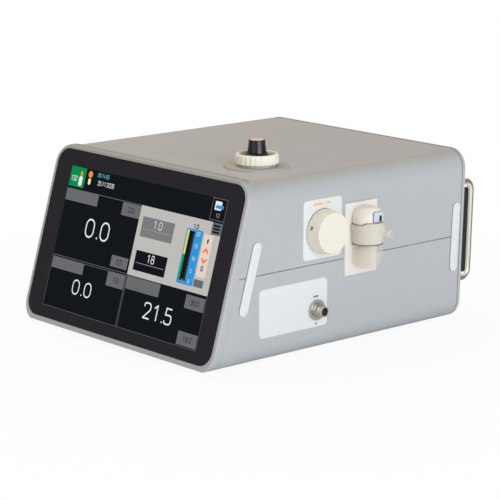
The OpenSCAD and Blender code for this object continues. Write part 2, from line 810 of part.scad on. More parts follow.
// Bow of a carrying handle in rear coordinates, its feet on the panel
module handle_bow() {
    rod_r = handle_dia/2;
    half = handle_pitch/2;
    for (s = [0, 1]) mirror([0, s, 0]) {
        translate([0, half, 0]) difference() {
            cylinder(h = handle_reach - bend_r, r = rod_r);
            translate([0, 0, -1]) cylinder(h = 13, r = 1.7);
        }
        translate([0, half, 0]) difference() {
            cylinder(h = 2, r = rod_r + 2);
            translate([0, 0, -1]) cylinder(h = 4, r = rod_r - 0.5);
        }
        translate([0, half - bend_r, handle_reach - bend_r]) rotate([0, -90, 0])
            rotate_extrude(angle = 90) translate([bend_r, 0]) circle(rod_r);
        translate([0, -0.01, handle_reach]) rotate([-90, 0, 0]) cylinder(h = half - bend_r + 0.01, r = rod_r);
    }
}

module rear_handle(side) {
    color([0.8, 0.78, 0.75]) in_body() on_rear() translate([side*handle_x, handle_z, 0]) handle_bow();
}

module rear_handle_right() { rear_handle(1); }
module rear_handle_left() { rear_handle(-1); }

// Dark guard bars on the rear panel, along the outside of each handle
module handle_guards() {
    guard_x = 130;
    guard_lift = 3.5;
    color([0.1, 0.1, 0.1]) in_body() on_rear() for (sx = [-1, 1])
        translate([sx*guard_x, handle_z + guard_lift, 0]) rounded_plate(5.4, 79, 2.6, 7.7);
}

module at_fan() { in_body() on_rear() translate([fan_xz[0], fan_xz[1], 0]) children(); }

module fan_guard() {
    wire_r = 0.9;
    bar_l = 95;
    color([0.75, 0.76, 0.78]) at_fan() {
        for (r = [10, 19, 28, 37]) translate([0, 0, 3]) rotate_extrude() translate([r, 0]) circle(wire_r);
        for (a = [45, 135]) rotate([0, 0, a]) translate([-bar_l/2, 0, 1.6]) rotate([0, 90, 0])
            cylinder(h = bar_l, r = 1.2);
        for (p = fan_holes) translate([p[0], p[1], 0]) difference() {
            cylinder(h = lug_h, r = 3.8);
            translate([0, 0, -1]) cylinder(h = 6, r = 2.2);
        }
    }
}

module fan_frame() {
    duct_r = fan_w/2 - 1.8;
    color([0.13, 0.13, 0.14]) at_fan() translate([0, 0, -panel_t - fan_t]) difference() {
        union() {
            difference() {
                rounded_plate(fan_w, fan_w, 5, fan_t);
                translate([0, 0, -1]) cylinder(h = fan_t + 2, r = duct_r);
            }
            cylinder(h = 4, r = 17);
            for (k = [0 : 2]) rotate([0, 0, 30 + k*120]) translate([0, -2.5, 0]) cube([duct_r + 1, 5, 3]);
            cylinder(h = 16, r = 1.5);
        }
        for (p = fan_holes) translate([p[0], p[1], -1]) cylinder(h = fan_t + 2, r = 2.2);
    }
}

module fan_rotor() {
    hub_r = 17;
    blades = 7;
    blade_tip = fan_w/2 - 3;
    color([0.16, 0.16, 0.17]) at_fan() translate([0, 0, -panel_t - fan_t + 5]) difference() {
        union() {
            cylinder(h = 17, r = hub_r);
            for (k = [0 : blades - 1]) rotate([0, 0, k*360/blades]) translate([hub_r - 2, 0, 8.5])
                rotate([50, 0, 0]) translate([0, -0.8, -9.5]) cube([blade_tip - hub_r + 2, 1.6, 19]);
        }
        translate([0, 0, -1]) cylinder(h = 12.6, r = 1.5 + fit);
        difference() {
            translate([0, 0, -1]) cylinder(h = 40, r = fan_w);
            translate([0, 0, -2]) cylinder(h = 42, r = blade_tip);
        }
    }
}

module at_mains() { in_body() on_rear() translate([mains_xz[0], mains_xz[1], 0]) children(); }

module mains_inlet() {
    color([0.1, 0.1, 0.1]) at_mains() difference() {
        union() {
            rounded_plate(57, 31, 3, inlet_face);
            translate([0, 0, -22]) rounded_plate(47, 27, 1, 22.5);
        }
        translate([socket_at, 0, -14]) rounded_plate(24, 16.5, 2.5, 30);
        box_on([14.4, 21.6, 30], [rocker_at, 0, -12]);
        for (s = [-1, 1]) translate([rocker_at + s*6.9, 0, inlet_face - rocker_depth]) rotate([0, s*90, 0])
            cylinder(h = 1.7, r = 1.2 + fit);
    }
    color("silver") at_mains() for (p = [[-7, -2], [7, -2], [0, 3]])
        box_on([2, 4, 11.5], [socket_at + p[0], p[1], -14.5]);
}

module power_rocker() {
    hollow_r = 23.5;
    color([0.12, 0.12, 0.12]) at_mains() translate([rocker_at, 0, inlet_face - rocker_depth])
        rotate([rocker_lean, 0, 0]) {
            difference() {
                box_on([13.4, 19.6, 8], [0, 0, -4]);
                translate([-10, 0, hollow_r + 3]) rotate([0, 90, 0]) cylinder(h = 20, r = hollow_r);
            }
            translate([-8.2, 0, 0]) rotate([0, 90, 0]) cylinder(h = 16.4, r = 1.2);
        }
}

module data_port() {
    color([0.3, 0.31, 0.33]) in_body() on_rear() translate([data_xz[0], data_xz[1], 0]) difference() {
        union() {
            translate([0, 0, -16]) rounded_plate(16, 14, 0.5, 16.4);
            rounded_plate(19, 17, 1, 1);
        }
        box_on([12, 8.4, 20], [0, 0.8, -12]);
        box_on([4.4, 3, 20], [0, -4.4, -12]);
    }
}

module earth_stud() {
    color([0.78, 0.66, 0.35]) in_body() on_rear() translate([earth_xz[0], earth_xz[1], 0]) {
        translate([0, 0, -panel_t - 6]) cylinder(h = panel_t + 7, r = 2.6);
        cylinder(h = 12, r = 3);
        cylinder(h = 3, r = 6, $fn = 6);
        translate([0, 0, -panel_t - 3]) cylinder(h = 3, r = 6, $fn = 6);
    }
}

module gas_inlets() {
    color([0.78, 0.76, 0.7]) in_body() on_rear() for (p = gas_xz) translate([p[0], p[1], 0]) difference() {
        union() {
            cylinder(h = 7, r = 9.8, $fn = 6);
            translate([0, 0, -panel_t - 12]) cylinder(h = panel_t + 14, r = 5.5);
            translate([0, 0, -panel_t - 3]) cylinder(h = 3, r = 9.8, $fn = 6);
            translate([0, 0, 6]) cylinder(h = 6, r = 7);
            translate([0, 0, 11]) cylinder(h = 4, r = 5.2);
            translate([0, 0, 14]) cylinder(h = 9, r = 6);
            translate([0, 0, 23]) cylinder(h = 3, r1 = 6, r2 = 4);
        }
        translate([0, 0, -40]) cylinder(h = 80, r = 2.2);
    }
}

module hose_barbs() {
    color([0.75, 0.65, 0.35]) in_body() on_rear() for (p = barb_xz) translate([p[0], p[1], 0]) difference() {
        union() {
            cylinder(h = 4, r = 7, $fn = 6);
            translate([0, 0, -panel_t - 10]) cylinder(h = panel_t + 12, r = 4);
            translate([0, 0, -panel_t - 3]) cylinder(h = 3, r = 7, $fn = 6);
            translate([0, 0, 3]) cylinder(h = 14, r = 2.6);
            for (z = [7, 10.5, 14]) translate([0, 0, z]) cylinder(h = 3, r1 = 3.4, r2 = 2.6);
        }
        translate([0, 0, -30]) cylinder(h = 60, r = 1.5);
    }
}

module speaker() {
    color([0.15, 0.15, 0.16]) in_body() on_rear() translate([speaker_xz[0], speaker_xz[1], -panel_t]) {
        translate([0, 0, -4]) cylinder(h = 4, r = 22);
        translate([0, 0, -12]) cylinder(h = 8.1, r1 = 11, r2 = 19);
        translate([0, 0, -18]) cylinder(h = 6.1, r = 11);
    }
}

module main_board() {
    color([0.1, 0.35, 0.2]) in_body() translate([0, 0, board_z]) {
        difference() {
            translate([board_x[0], board_y[0], 0])
                cube([board_x[1] - board_x[0], board_y[1] - board_y[0], 1.6]);
            for (p = post_xy) translate([p[0], p[1], -1]) cylinder(h = 4, r = 1.6);
        }
        box_on([34, 34, 12], [-76, 120, 1.5]);
        box_on([20, 20, 3], [-100, 190, 1.5]);
        box_on([14, 60, 8], [-40, 190, 1.5]);
        for (y = [225, 240]) translate([-80, y, 1.5]) cylinder(h = 16, r = 6);
    }
}

module board_posts() {
    color("silver") in_body() for (p = post_xy) translate([p[0], p[1], deck_top]) {
        cylinder(h = board_z - deck_top, r = 2.8);
        cylinder(h = board_z - deck_top + 3, r = 1.5);
    }
}

module power_supply() {
    color([0.75, 0.77, 0.79]) in_body() {
        translate([-109, 148, deck_top]) cube([70, 122, 3]);
        difference() {
            translate([-107, 150, deck_top + 3]) cube([66, 118, 35]);
            for (y = [160 : 8 : 258]) translate([-100, y, deck_top + 36]) cube([52, 3, 5]);
        }
    }
}

module battery_pack() {
    color([0.15, 0.2, 0.3]) in_body() {
        translate([-108, 62, deck_top]) cube([68, 74, 32]);
        translate([-90, 135.5, deck_top + 8]) cube([24, 6, 12]);
    }
}

module gas_manifold() {
    color([0.72, 0.74, 0.76]) in_body() difference() {
        translate([14, manifold_y[0], deck_top]) cube([60, manifold_y[1] - manifold_y[0], 26]);
        for (y = valve_row) translate([13, y, deck_top + 13]) rotate([0, 90, 0]) cylinder(h = 62, r = 2);
        translate([44, manifold_y[0] - 1, deck_top + 8]) rotate([-90, 0, 0])
            cylinder(h = manifold_y[1] - manifold_y[0] + 2, r = 2.5);
    }
}

module solenoid_valves() {
    color([0.2, 0.2, 0.22]) in_body() for (y = valve_row) translate([44, y, deck_top + 26]) {
        box_on([20, 20, 8]);
        translate([0, 0, 8]) cylinder(h = 22, r = 9);
        translate([0, 0, 30]) cylinder(h = 3, r = 4);
    }
}

module sample_pump() {
    color([0.25, 0.25, 0.27]) in_body() translate([100, 0, deck_top]) {
        translate([0, 205, 0]) box_on([30, 44, 6]);
        translate([0, 180, 18]) rotate([-90, 0, 0]) cylinder(h = 46, r = 13);
        translate([0, 226, 0]) box_on([30, 10, 32]);
        for (x = [-7, 7]) translate([x, 231, 24]) rotate([-90, 0, 0]) cylinder(h = 8, r = 2);
    }
}

module sensor_block() {
    color([0.8, 0.8, 0.78]) in_body() difference() {
        translate([10, 70, deck_top]) cube([104, 36, 18]);
        for (x = cell_x) translate([x, 88, deck_top + 12]) cylinder(h = 10, r = 12);
        translate([9, 88, deck_top + 6]) rotate([0, 90, 0]) cylinder(h = 106, r = 2);
    }
}

module sensor_cells() {
    color([0.9, 0.9, 0.92]) in_body() for (x = cell_x) translate([x, 88, deck_top + 12]) {
        cylinder(h = 6.5, r = 11.7);
        translate([0, 0, 6]) cylinder(h = 20, r = 15);
        translate([0, 0, 26]) cylinder(h = 2.5, r = 5);
    }
}

front_frame();
upper_shell();
lower_shell();
rear_panel();
rubber_feet();
chassis();
base_screws();
rear_screws();
trim_strips();
selector_label();
socket_label();
touch_glass();
display_panel();
display_bracket();
bracket_screws();
display_board();
valve_plate();
lock_ring();
dose_knob();
knob_cap();
valve_stem();
needle_valve();
valve_nut();
selector_knob();
selector_grub();
selector_shaft();
selector_bush();
selector_valve();
trap_receptacle();
trap_head();
trap_label();
trap_collar();
trap_seal();
trap_cup();
sample_port();
socket_shell();
socket_insert();
socket_nut();
rear_handle_right();
rear_handle_left();
handle_guards();
fan_guard();
fan_frame();
fan_rotor();
mains_inlet();
power_rocker();
data_port();
earth_stud();
gas_inlets();
hose_barbs();
speaker();
main_board();
board_posts();
power_supply();
battery_pack();
gas_manifold();
solenoid_valves();
sample_pump();
sensor_block();
sensor_cells();
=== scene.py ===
import math
import bmesh
import bpy
from mathutils import Matrix, Vector


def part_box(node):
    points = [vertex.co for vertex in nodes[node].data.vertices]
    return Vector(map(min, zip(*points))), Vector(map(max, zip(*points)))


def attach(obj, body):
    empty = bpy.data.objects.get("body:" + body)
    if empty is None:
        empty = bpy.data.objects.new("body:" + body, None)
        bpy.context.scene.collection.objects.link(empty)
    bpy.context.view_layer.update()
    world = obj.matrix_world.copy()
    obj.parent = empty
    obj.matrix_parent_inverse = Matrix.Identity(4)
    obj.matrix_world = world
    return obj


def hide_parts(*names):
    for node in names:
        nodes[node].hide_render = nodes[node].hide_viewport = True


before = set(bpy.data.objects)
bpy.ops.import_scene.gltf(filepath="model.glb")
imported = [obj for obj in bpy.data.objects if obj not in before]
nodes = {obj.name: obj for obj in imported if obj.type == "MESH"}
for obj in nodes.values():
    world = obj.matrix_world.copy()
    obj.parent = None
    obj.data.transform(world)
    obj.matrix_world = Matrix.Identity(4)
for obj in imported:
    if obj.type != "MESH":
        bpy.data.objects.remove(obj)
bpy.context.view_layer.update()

scene = bpy.context.scene
mm = 0.001
print("frame loaded:", len(nodes), "nodes")

# sizes of the casing that every piece is placed on, in mm and degrees
casing = {
    "width": 268.0,
    "height": 157.0,
    "edgeRadius": 18.0,
    "depthTop": 307.0,
    "frontLean": 16.4,
    "rearLean": 1.8,
    "frameDepth": 8.0,
    "frameLip": 1.1,
    "frameBrow": 1.5,
}


def cosSin(degrees):
    return math.cos(math.radians(degrees)), math.sin(math.radians(degrees))


shellLow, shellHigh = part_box("lower_shell")
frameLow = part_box("front_frame")[0]
frontCos, frontSin = cosSin(casing["frontLean"])
rearCos, rearSin = cosSin(casing["rearLean"])
frontTan = frontSin/frontCos
rearFoot = casing["depthTop"] - casing["height"]*rearSin/rearCos
frontEdge = frameLow[1] - casing["frameLip"]*frontTan*mm
casingAt = Vector(((shellLow[0] + shellHigh[0])/2, frontEdge, shellLow[2]))
frontOut = Vector((0, -frontCos, frontSin))
rearOut = Vector((0, rearCos, -rearSin))


def at(x, y, z):
    return casingAt + Vector((x, y, z))*mm


def onFront(u, v, n=0.0):  # u right, v up the slope, n out of the display
    return at(u, v*frontSin - n*frontCos, v*frontCos + n*frontSin)


def onSide(y, z, h=0.0, side=1):  # h out of the casing's side
    return at(side*(casing["width"]/2 + h), y, z)


def onRear(x, v, n=0.0):  # v up the rear panel, n out of it
    return at(x, rearFoot + v*rearSin + n*rearCos, v*rearCos - n*rearSin)


def moved(place, da, db, dh=0.0):  # the same way of placing, from another origin
    return lambda a, b, h: place(a + da, b + db, h + dh)


def tone(r, g, b):  # a colour as seen on a screen, 0 to 255
    def straight(c):
        c = c/255
        return c/12.92 if c <= 0.04045 else ((c + 0.055)/1.055)**2.4
    return (straight(r), straight(g), straight(b), 1.0)


def shade(colour, k):
    return (min(1, colour[0]*k), min(1, colour[1]*k), min(1, colour[2]*k), 1.0)


def addNode(tree, kind, sockets=(), **settings):  # a socket takes a value or another node's output
    made = tree.nodes.new(kind)
    for key, value in settings.items():
        setattr(made, key, value)
    for socket, value in dict(sockets).items():
        if isinstance(value, bpy.types.NodeSocket):
            tree.links.new(value, made.inputs[socket])
        else:
            made.inputs[socket].default_value = value
    return made


mixFactor, mixFirst, mixSecond, mixResult = 0, 6, 7, 2  # sockets of a colour mix


def mixColours(tree, factor, first, second, blend="MIX"):
    mix = addNode(tree, "ShaderNodeMix", {mixFactor: factor, mixFirst: first, mixSecond: second},
                  data_type="RGBA", blend_type=blend)
    return mix.outputs[mixResult]


def newMaterial(name):
    mat = bpy.data.materials.new(name)
    mat.use_nodes = True
    place = addNode(mat.node_tree, "ShaderNodeTexCoord").outputs["Object"]
    return mat, mat.node_tree, place


# what a finish has unless it says otherwise
usualLook = {"stretch": (1, 1, 1), "drift": 0.03, "driftScale": 14, "roughSpread": 0.05, "roughScale": 60,
             "bump": 0.0, "bumpDepth": 0.05, "bumpScale": 900, "metal": 0.0, "specular": 0.5, "ior": 1.5,
             "coat": 0.0, "coatRough": 0.05, "alpha": 1.0}
plainSockets = {"Metallic": "metal", "Specular IOR Level": "specular", "IOR": "ior", "Coat Weight": "coat",
                "Coat Roughness": "coatRough", "Alpha": "alpha"}


def makeFinish(name, given):
    look = {**usualLook, **given}
    mat, tree, place = newMaterial(name)
    link = tree.links.new
    shader = tree.nodes["Principled BSDF"]
    spot = addNode(tree, "ShaderNodeMapping", {"Scale": look["stretch"], "Vector": place}).outputs["Vector"]

    def noise(scale, detail):
        tex = addNode(tree, "ShaderNodeTexNoise", {"Scale": scale, "Detail": detail, "Vector": spot})
        return tex.outputs["Fac"]

    # broad and fine drift of the colour
    base, drift = tone(*look["colour"]), look["drift"]
    paint = mixColours(tree, noise(look["driftScale"], 5), shade(base, 1 - drift), shade(base, 1 + drift))

    # a painted dark reflection along one side of a rod
    if "paintedReflection" in look:
        side = addNode(tree, "ShaderNodeAttribute", attribute_name="paintedReflection")
        paint = mixColours(tree, side.outputs["Fac"], paint, (*look["paintedReflection"], 1.0), "MULTIPLY")

    # painted shade: a darker, warmer tint that comes and goes with the height on the casing, for how the
    # light falls on the top rounding and on the frame's top band: (height, strength)
    if "tint" in look:
        stops = look["tintAt"]
        low, high = stops[0][0], stops[-1][0]
        split = addNode(tree, "ShaderNodeSeparateXYZ", {"Vector": place})
        rise = addNode(tree, "ShaderNodeMapRange", {
            "Value": split.outputs["Z"], "From Min": casingAt.z + low*mm, "From Max": casingAt.z + high*mm})
        ramp = addNode(tree, "ShaderNodeValToRGB", {"Fac": rise.outputs["Result"]})
        marks = ramp.color_ramp.elements
        for height, strength in stops[1:-1]:
            marks.new((height - low)/(high - low))
        for mark, (height, strength) in zip(marks, stops):
            mark.color = (strength, strength, strength, 1.0)
        paint = mixColours(tree, ramp.outputs["Color"], paint, (*look["tint"], 1.0), "MULTIPLY")
    link(paint, shader.inputs["Base Color"])

    # roughness wanders with a finer noise
    rough, wander = look["rough"], look["roughSpread"]
    spread = addNode(tree, "ShaderNodeMapRange", {
        "Value": noise(look["roughScale"], 4), "From Min": 0.3, "From Max": 0.7,
        "To Min": max(0.02, rough - wander), "To Max": min(1.0, rough + wander)})
    link(spread.outputs["Result"], shader.inputs["Roughness"])

    # surface texture
    if look["bump"] > 0:
        bump = addNode(tree, "ShaderNodeBump", {"Strength": look["bump"], "Distance": look["bumpDepth"]*mm,
                                                "Height": noise(look["bumpScale"], 2)})
        link(bump.outputs["Normal"], shader.inputs["Normal"])
    for socket, key in plainSockets.items():
        shader.inputs[socket].default_value = look[key]
    return mat


# lit colours of the display, with a fine grain
glow = {"grainScale": 2600, "grain": 0.06, "offTone": (0.004, 0.004, 0.005, 1), "rough": 0.3}


def makeGlow(name, colour):
    mat, tree, place = newMaterial(name)
    shader = tree.nodes["Principled BSDF"]
    grain = addNode(tree, "ShaderNodeTexNoise", {"Scale": glow["grainScale"], "Vector": place})
    lit = mixColours(tree, grain.outputs["Fac"], shade(tone(*colour), 1 - glow["grain"]),
                     shade(tone(*colour), 1 + glow["grain"]))
    tree.links.new(lit, shader.inputs["Emission Color"])
    for socket, value in (("Emission Strength", 1.0), ("Base Color", glow["offTone"]),
                          ("Roughness", glow["rough"]), ("Specular IOR Level", 0.0)):
        shader.inputs[socket].default_value = value
    return mat


finishes = {
    # its tint is painted shade: the top rounding darker and warmer, for how the light falls on it
    "casingPaint": {"colour": (188, 190, 192), "rough": 0.48, "drift": 0.02, "driftScale": 9, "bump": 0.25,
                    "bumpScale": 1500, "bumpDepth": 0.03, "tint": (0.89, 0.86, 0.77),
                    "tintAt": ((147, 0), (150.5, 0.3), (153, 0.7), (156.1, 1), (156.95, 0))},
    # its tint is painted shade: the frame's top band darker, as it catches less of the bright top light
    "framePaint": {"colour": (188, 190, 191), "rough": 0.42, "drift": 0.025, "driftScale": 12, "bump": 0.25,
                   "bumpScale": 1500, "bumpDepth": 0.03, "tint": (0.7, 0.73, 0.66),
                   "tintAt": ((147, 0), (153, 0.32), (155.4, 0.22), (157.6, 1))},
    "borderGlass": {"colour": (46, 44, 51), "rough": 0.22, "drift": 0.05, "specular": 0.08},
    "stripPlastic": {"colour": (230, 232, 232), "rough": 0.38, "drift": 0.012, "bump": 0.15,
                     "bumpScale": 1200},
    # dark for the rear joint line, and painted shadow for the line above the selector knob
    "gapAndShadowDark": {"colour": (58, 58, 58), "rough": 0.9, "drift": 0.1},
    # painted shadow beside the side strips
    "shadowGrey": {"colour": (108, 112, 116), "rough": 0.8, "drift": 0.1},
    "labelFilm": {"colour": (232, 233, 232), "rough": 0.45, "drift": 0.012, "bump": 0.2, "bumpScale": 2600,
                  "bumpDepth": 0.02},
    "labelPrint": {"colour": (248, 196, 128), "rough": 0.5, "drift": 0.03},
    "labelLine": {"colour": (120, 126, 132), "rough": 0.5, "drift": 0.03},
    "valveGrey": {"colour": (182, 180, 172), "rough": 0.4, "drift": 0.02, "bump": 0.2, "bumpScale": 1400},
    "ringIvory": {"colour": (253, 250, 230), "rough": 0.36, "drift": 0.02, "driftScale": 80, "bump": 0.15},
    "skirtGrey": {"colour": (132, 130, 142), "rough": 0.4, "drift": 0.04, "driftScale": 90},
    "knobBlack": {"colour": (17, 15, 15), "rough": 0.28, "roughSpread": 0.06, "drift": 0.1, "coat": 0.1},
    "capPeach": {"colour": (246, 212, 184), "rough": 0.4, "drift": 0.03, "driftScale": 120},
    "knobCream": {"colour": (242, 236, 220), "rough": 0.4, "drift": 0.02, "driftScale": 50, "bump": 0.15},
    "trapCream": {"colour": (236, 231, 223), "rough": 0.42, "drift": 0.02, "driftScale": 60, "bump": 0.12},
    "headCream": {"colour": (246, 238, 225), "rough": 0.38, "drift": 0.02, "driftScale": 60, "bump": 0.1},
    "trapSmoke": {"colour": (243, 236, 221), "rough": 0.22, "drift": 0.05, "driftScale": 70, "alpha": 0.74},
    "portPale": {"colour": (240, 234, 225), "rough": 0.25, "drift": 0.03, "alpha": 0.82},
    "collarEdge": {"colour": (144, 132, 110), "rough": 0.4, "drift": 0.06},
    "trapClear": {"colour": (250, 240, 218), "rough": 0.1, "roughSpread": 0.03, "drift": 0.02, "alpha": 0.16},
    "trapBlue": {"colour": (212, 221, 236), "rough": 0.45, "drift": 0.03},
    # painted shade at the edge of the trap's label
    "edgeShadeGrey": {"colour": (88, 88, 100), "rough": 0.5, "drift": 0.06},
    "sealRubber": {"colour": (96, 88, 80), "rough": 0.7, "drift": 0.1},
    "socketNickel": {"colour": (196, 190, 180), "rough": 0.3, "metal": 1.0, "drift": 0.06, "driftScale": 200},
    # its darker streak is a painted reflection on one side of the rod
    "handleSteel": {"colour": (252, 247, 236), "rough": 0.2, "metal": 0.25, "paintedReflection": (0.26, 0.2, 0.14),
                    "drift": 0.05, "driftScale": 90},
    "guardBlack": {"colour": (16, 13, 13), "rough": 0.6, "drift": 0.1},
    "screwSteel": {"colour": (176, 176, 174), "rough": 0.34, "metal": 1.0, "drift": 0.08, "driftScale": 300},
    "sheetZinc": {"colour": (178, 182, 184), "rough": 0.42, "metal": 1.0, "drift": 0.12, "driftScale": 45},
    "turnedBrass": {"colour": (206, 170, 98), "rough": 0.28, "metal": 1.0, "drift": 0.06, "driftScale": 200},
    "milledAlloy": {"colour": (188, 190, 192), "rough": 0.36, "metal": 1.0, "drift": 0.05,
                    "stretch": (1, 12, 1)},
    "plasticBlack": {"colour": (34, 34, 36), "rough": 0.5, "drift": 0.1, "bump": 0.25, "bumpScale": 1800},
    "footRubber": {"colour": (40, 40, 41), "rough": 0.8, "drift": 0.12, "bump": 0.3, "bumpScale": 2200},
    "boardGreen": {"colour": (30, 92, 58), "rough": 0.35, "drift": 0.25, "driftScale": 160, "coat": 0.3},
    "packBlue": {"colour": (44, 66, 110), "rough": 0.45, "drift": 0.1, "driftScale": 60},
    "cellWhite": {"colour": (226, 228, 230), "rough": 0.4, "drift": 0.03},
}
mats = {name: makeFinish(name, look) for name, look in finishes.items()}
print("finishes made:", len(mats))


def roundedLoop(w, h, r, corner=10):
    pts = []
    for k, (sx, sy) in enumerate(((1, 1), (-1, 1), (-1, -1), (1, -1))):
        for i in range(corner + 1):
            c, n = cosSin(90*k + 90*i/corner)
            pts.append((sx*(w/2 - r) + r*c, sy*(h/2 - r) + r*n))
    return pts


def soften(points, steps=5):  # rounds the corners of a path of (a, b, rounding)
    out = []
    for i, p in enumerate(points):
        f = p[2] if len(p) > 2 else 0
        here = Vector(p[:2])
        if f <= 0 or i in (0, len(points) - 1):
            out.append(tuple(here))
            continue
        back = Vector(points[i - 1][:2]) - here
        on = Vector(points[i + 1][:2]) - here
        start = here + back.normalized()*min(f, back.length*0.499)
        end = here + on.normalized()*min(f, on.length*0.499)
        for k in range(steps + 1):
            t = k/steps
            out.append(tuple(start*(1 - t)**2 + here*2*t*(1 - t) + end*t*t))
    return out


def skin(loops, capped=True):  # walls from loop to loop
    count = len(loops[0])
    verts = [v for loop in loops for v in loop]
    faces = []
    for k in range(len(loops) - 1):
        for i in range(count):
            j = (i + 1) % count
            faces.append((k*count + i, k*count + j, (k + 1)*count + j, (k + 1)*count + i))
    if capped:
        faces.append(tuple(range(count - 1, -1, -1)))
        faces.append(tuple((len(loops) - 1)*count + i for i in range(count)))
    return verts, faces


def hoop(loops):  # the last loop joins the first
    return skin(loops + loops[:1], False)


def joined(*shapes):
    verts, faces = [], []
    for v, f in shapes:
        faces += [tuple(i + len(verts) for i in face) for face in f]
        verts += v
    return verts, faces


def toMesh(name, verts, faces, outward=True):
    mesh = bpy.data.meshes.new(name)
    mesh.from_pydata([tuple(v) for v in verts], [], faces)
    bm = bmesh.new()
    bm.from_mesh(mesh)
    bmesh.ops.remove_doubles(bm, verts=bm.verts, dist=1e-7)
    if outward:
        bmesh.ops.recalc_face_normals(bm, faces=bm.faces)
    bm.to_mesh(mesh)
    bm.free()
    return mesh


def toScene(name, data):
    obj = bpy.data.objects.new(name, data)
    scene.collection.objects.link(obj)
    return obj


def baked(obj):  # the object's evaluated shape as a plain mesh, its modifiers gone
    bpy.context.view_layer.update()
    graph = bpy.context.evaluated_depsgraph_get()
    mesh = bpy.data.meshes.new_from_object(obj.evaluated_get(graph))
    mesh.name = obj.name
    obj.modifiers.clear()
    obj.data = mesh
    return obj


def takeMesh(obj):  # the baked mesh alone, its object gone
    mesh = baked(obj).data
    bpy.data.objects.remove(obj)
    return mesh


def carve(mesh, cutter):
    body, tool = toScene("carved", mesh), toScene("tool", cutter)
    cut = body.modifiers.new("cut", "BOOLEAN")
    cut.operation = "DIFFERENCE"
    cut.solver = "EXACT"
    cut.object = tool
    out = takeMesh(body)
    bpy.data.objects.remove(tool)
    return out


def addPiece(name, shape, finish, body="housing", stands=(), sharp=32):
    mesh = toMesh(name, *shape) if isinstance(shape, tuple) else shape
    mesh.polygons.foreach_set("use_smooth", [True]*len(mesh.polygons))
    mesh.set_sharp_from_angle(angle=math.radians(sharp))
    mesh.materials.clear()
    mesh.materials.append(mats[finish])
    obj = toScene(name, mesh)
    even = obj.modifiers.new("even", "WEIGHTED_NORMAL")
    even.keep_sharp = True
    even.weight = 80
    baked(obj)
    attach(obj, body)
    if stands:
        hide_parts(*stands)
    return obj


def turned(profile, place, steps=72, rounding=5):  # (radius, height, rounding) about a piece's own axis
    ring = [cosSin(360*i/steps) for i in range(steps)]
    return skin([[place(r*c, r*n, h) for c, n in ring] for r, h in soften(profile, rounding)])


def turnedRing(profile, place, steps=72):  # the profile ends where it starts
    verts, faces = turned(profile, place, steps)
    return verts, faces[:-2]


def plateLoops(w, h, r, levels, place, corner):  # levels of (inset, height)
    return [[place(a, b, height) for a, b in roundedLoop(w - 2*i, h - 2*i, max(r - i, 0.05), corner)]
            for i, height in levels]


def plate(w, h, r, levels, place, corner=10):
    return skin(plateLoops(w, h, r, levels, place, corner))


def holedPlate(w, h, r, levels, place, hole, corner=10):  # hole of (a, b, radius)
    loops = plateLoops(w, h, r, levels, place, corner)
    rim = []
    for a, b in roundedLoop(w, h, r, corner):
        d = Vector((a - hole[0], b - hole[1])).normalized()*hole[2]
        rim.append((hole[0] + d.x, hole[1] + d.y))
    for height in (levels[-1][1], levels[0][1]):
        loops.append([place(a, b, height) for a, b in rim])
    return hoop(loops)


# how a CAD node's copy is cleaned and its edges eased
softEdge = {"merge": 2e-6, "flatten": 0.4, "angle": 35, "segments": 3, "sharp": 40}


def softCopy(node, finish, body="housing", slot=None, width=0.3):
    s = softEdge
    mesh = nodes[node].data.copy()
    mesh.name = node + "Soft"
    bm = bmesh.new()
    bm.from_mesh(mesh)
    bmesh.ops.remove_doubles(bm, verts=bm.verts, dist=s["merge"])
    bmesh.ops.dissolve_limit(bm, angle_limit=math.radians(s["flatten"]), verts=bm.verts, edges=bm.edges)
    bm.to_mesh(mesh)
    bm.free()
    obj = toScene(node + "Soft", mesh)
    edge = obj.modifiers.new("edge", "BEVEL")
    edge.limit_method = "ANGLE"
    edge.angle_limit = math.radians(s["angle"])
    edge.width = width*mm
    edge.segments = s["segments"]
    edge.use_clamp_overlap = True
    return addPiece(node + "Soft", takeMesh(obj), finish, body, (node,), s["sharp"])


def nodeTree(name, inputs):
    tree = bpy.data.node_groups.new(name, "GeometryNodeTree")
    tree.interface.new_socket(name="Geometry", in_out="INPUT", socket_type="NodeSocketGeometry")
    for label, kind in inputs.items():
        tree.interface.new_socket(name=label, in_out="INPUT", socket_type="NodeSocket" + kind)
    tree.interface.new_socket(name="Finish", in_out="INPUT", socket_type="NodeSocketMaterial")
    tree.interface.new_socket(name="Geometry", in_out="OUTPUT", socket_type="NodeSocketGeometry")
    return tree, tree.nodes.new("NodeGroupInput").outputs


def endTree(tree, given, shape):  # every tree ends in real geometry with its finish
    real = addNode(tree, "GeometryNodeRealizeInstances", {"Geometry": shape})
    paint = addNode(tree, "GeometryNodeSetMaterial", {"Geometry": real.outputs["Geometry"],
                                                      "Material": given["Finish"]})
    addNode(tree, "NodeGroupOutput", {"Geometry": paint.outputs["Geometry"]})
    return tree


def grown(name, tree, values, finish, mesh=None):  # a node tree's result as a plain mesh
    obj = toScene(name, mesh or bpy.data.meshes.new(name))
    step = obj.modifiers.new("grow", "NODES")
    step.node_group = tree
    values = {**values, "Finish": mats[finish]}
    for item in tree.interface.items_tree:
        if item.in_out == "INPUT" and item.name in values:
            step[item.identifier] = values[item.name]
    return takeMesh(obj)


def makeRodTree():  # round rod along a path of edges
    tree, given = nodeTree("roundRods", {"Rod radius": "Float", "Sides": "Int"})
    path = addNode(tree, "GeometryNodeMeshToCurve", {"Mesh": given["Geometry"]})
    across = addNode(tree, "GeometryNodeCurvePrimitiveCircle", {"Resolution": given["Sides"],
                                                                "Radius": given["Rod radius"]})
    rod = addNode(tree, "GeometryNodeCurveToMesh", {"Curve": path.outputs["Curve"], "Fill Caps": True,
                                                    "Profile Curve": across.outputs["Curve"]})
    return endTree(tree, given, rod.outputs["Mesh"])


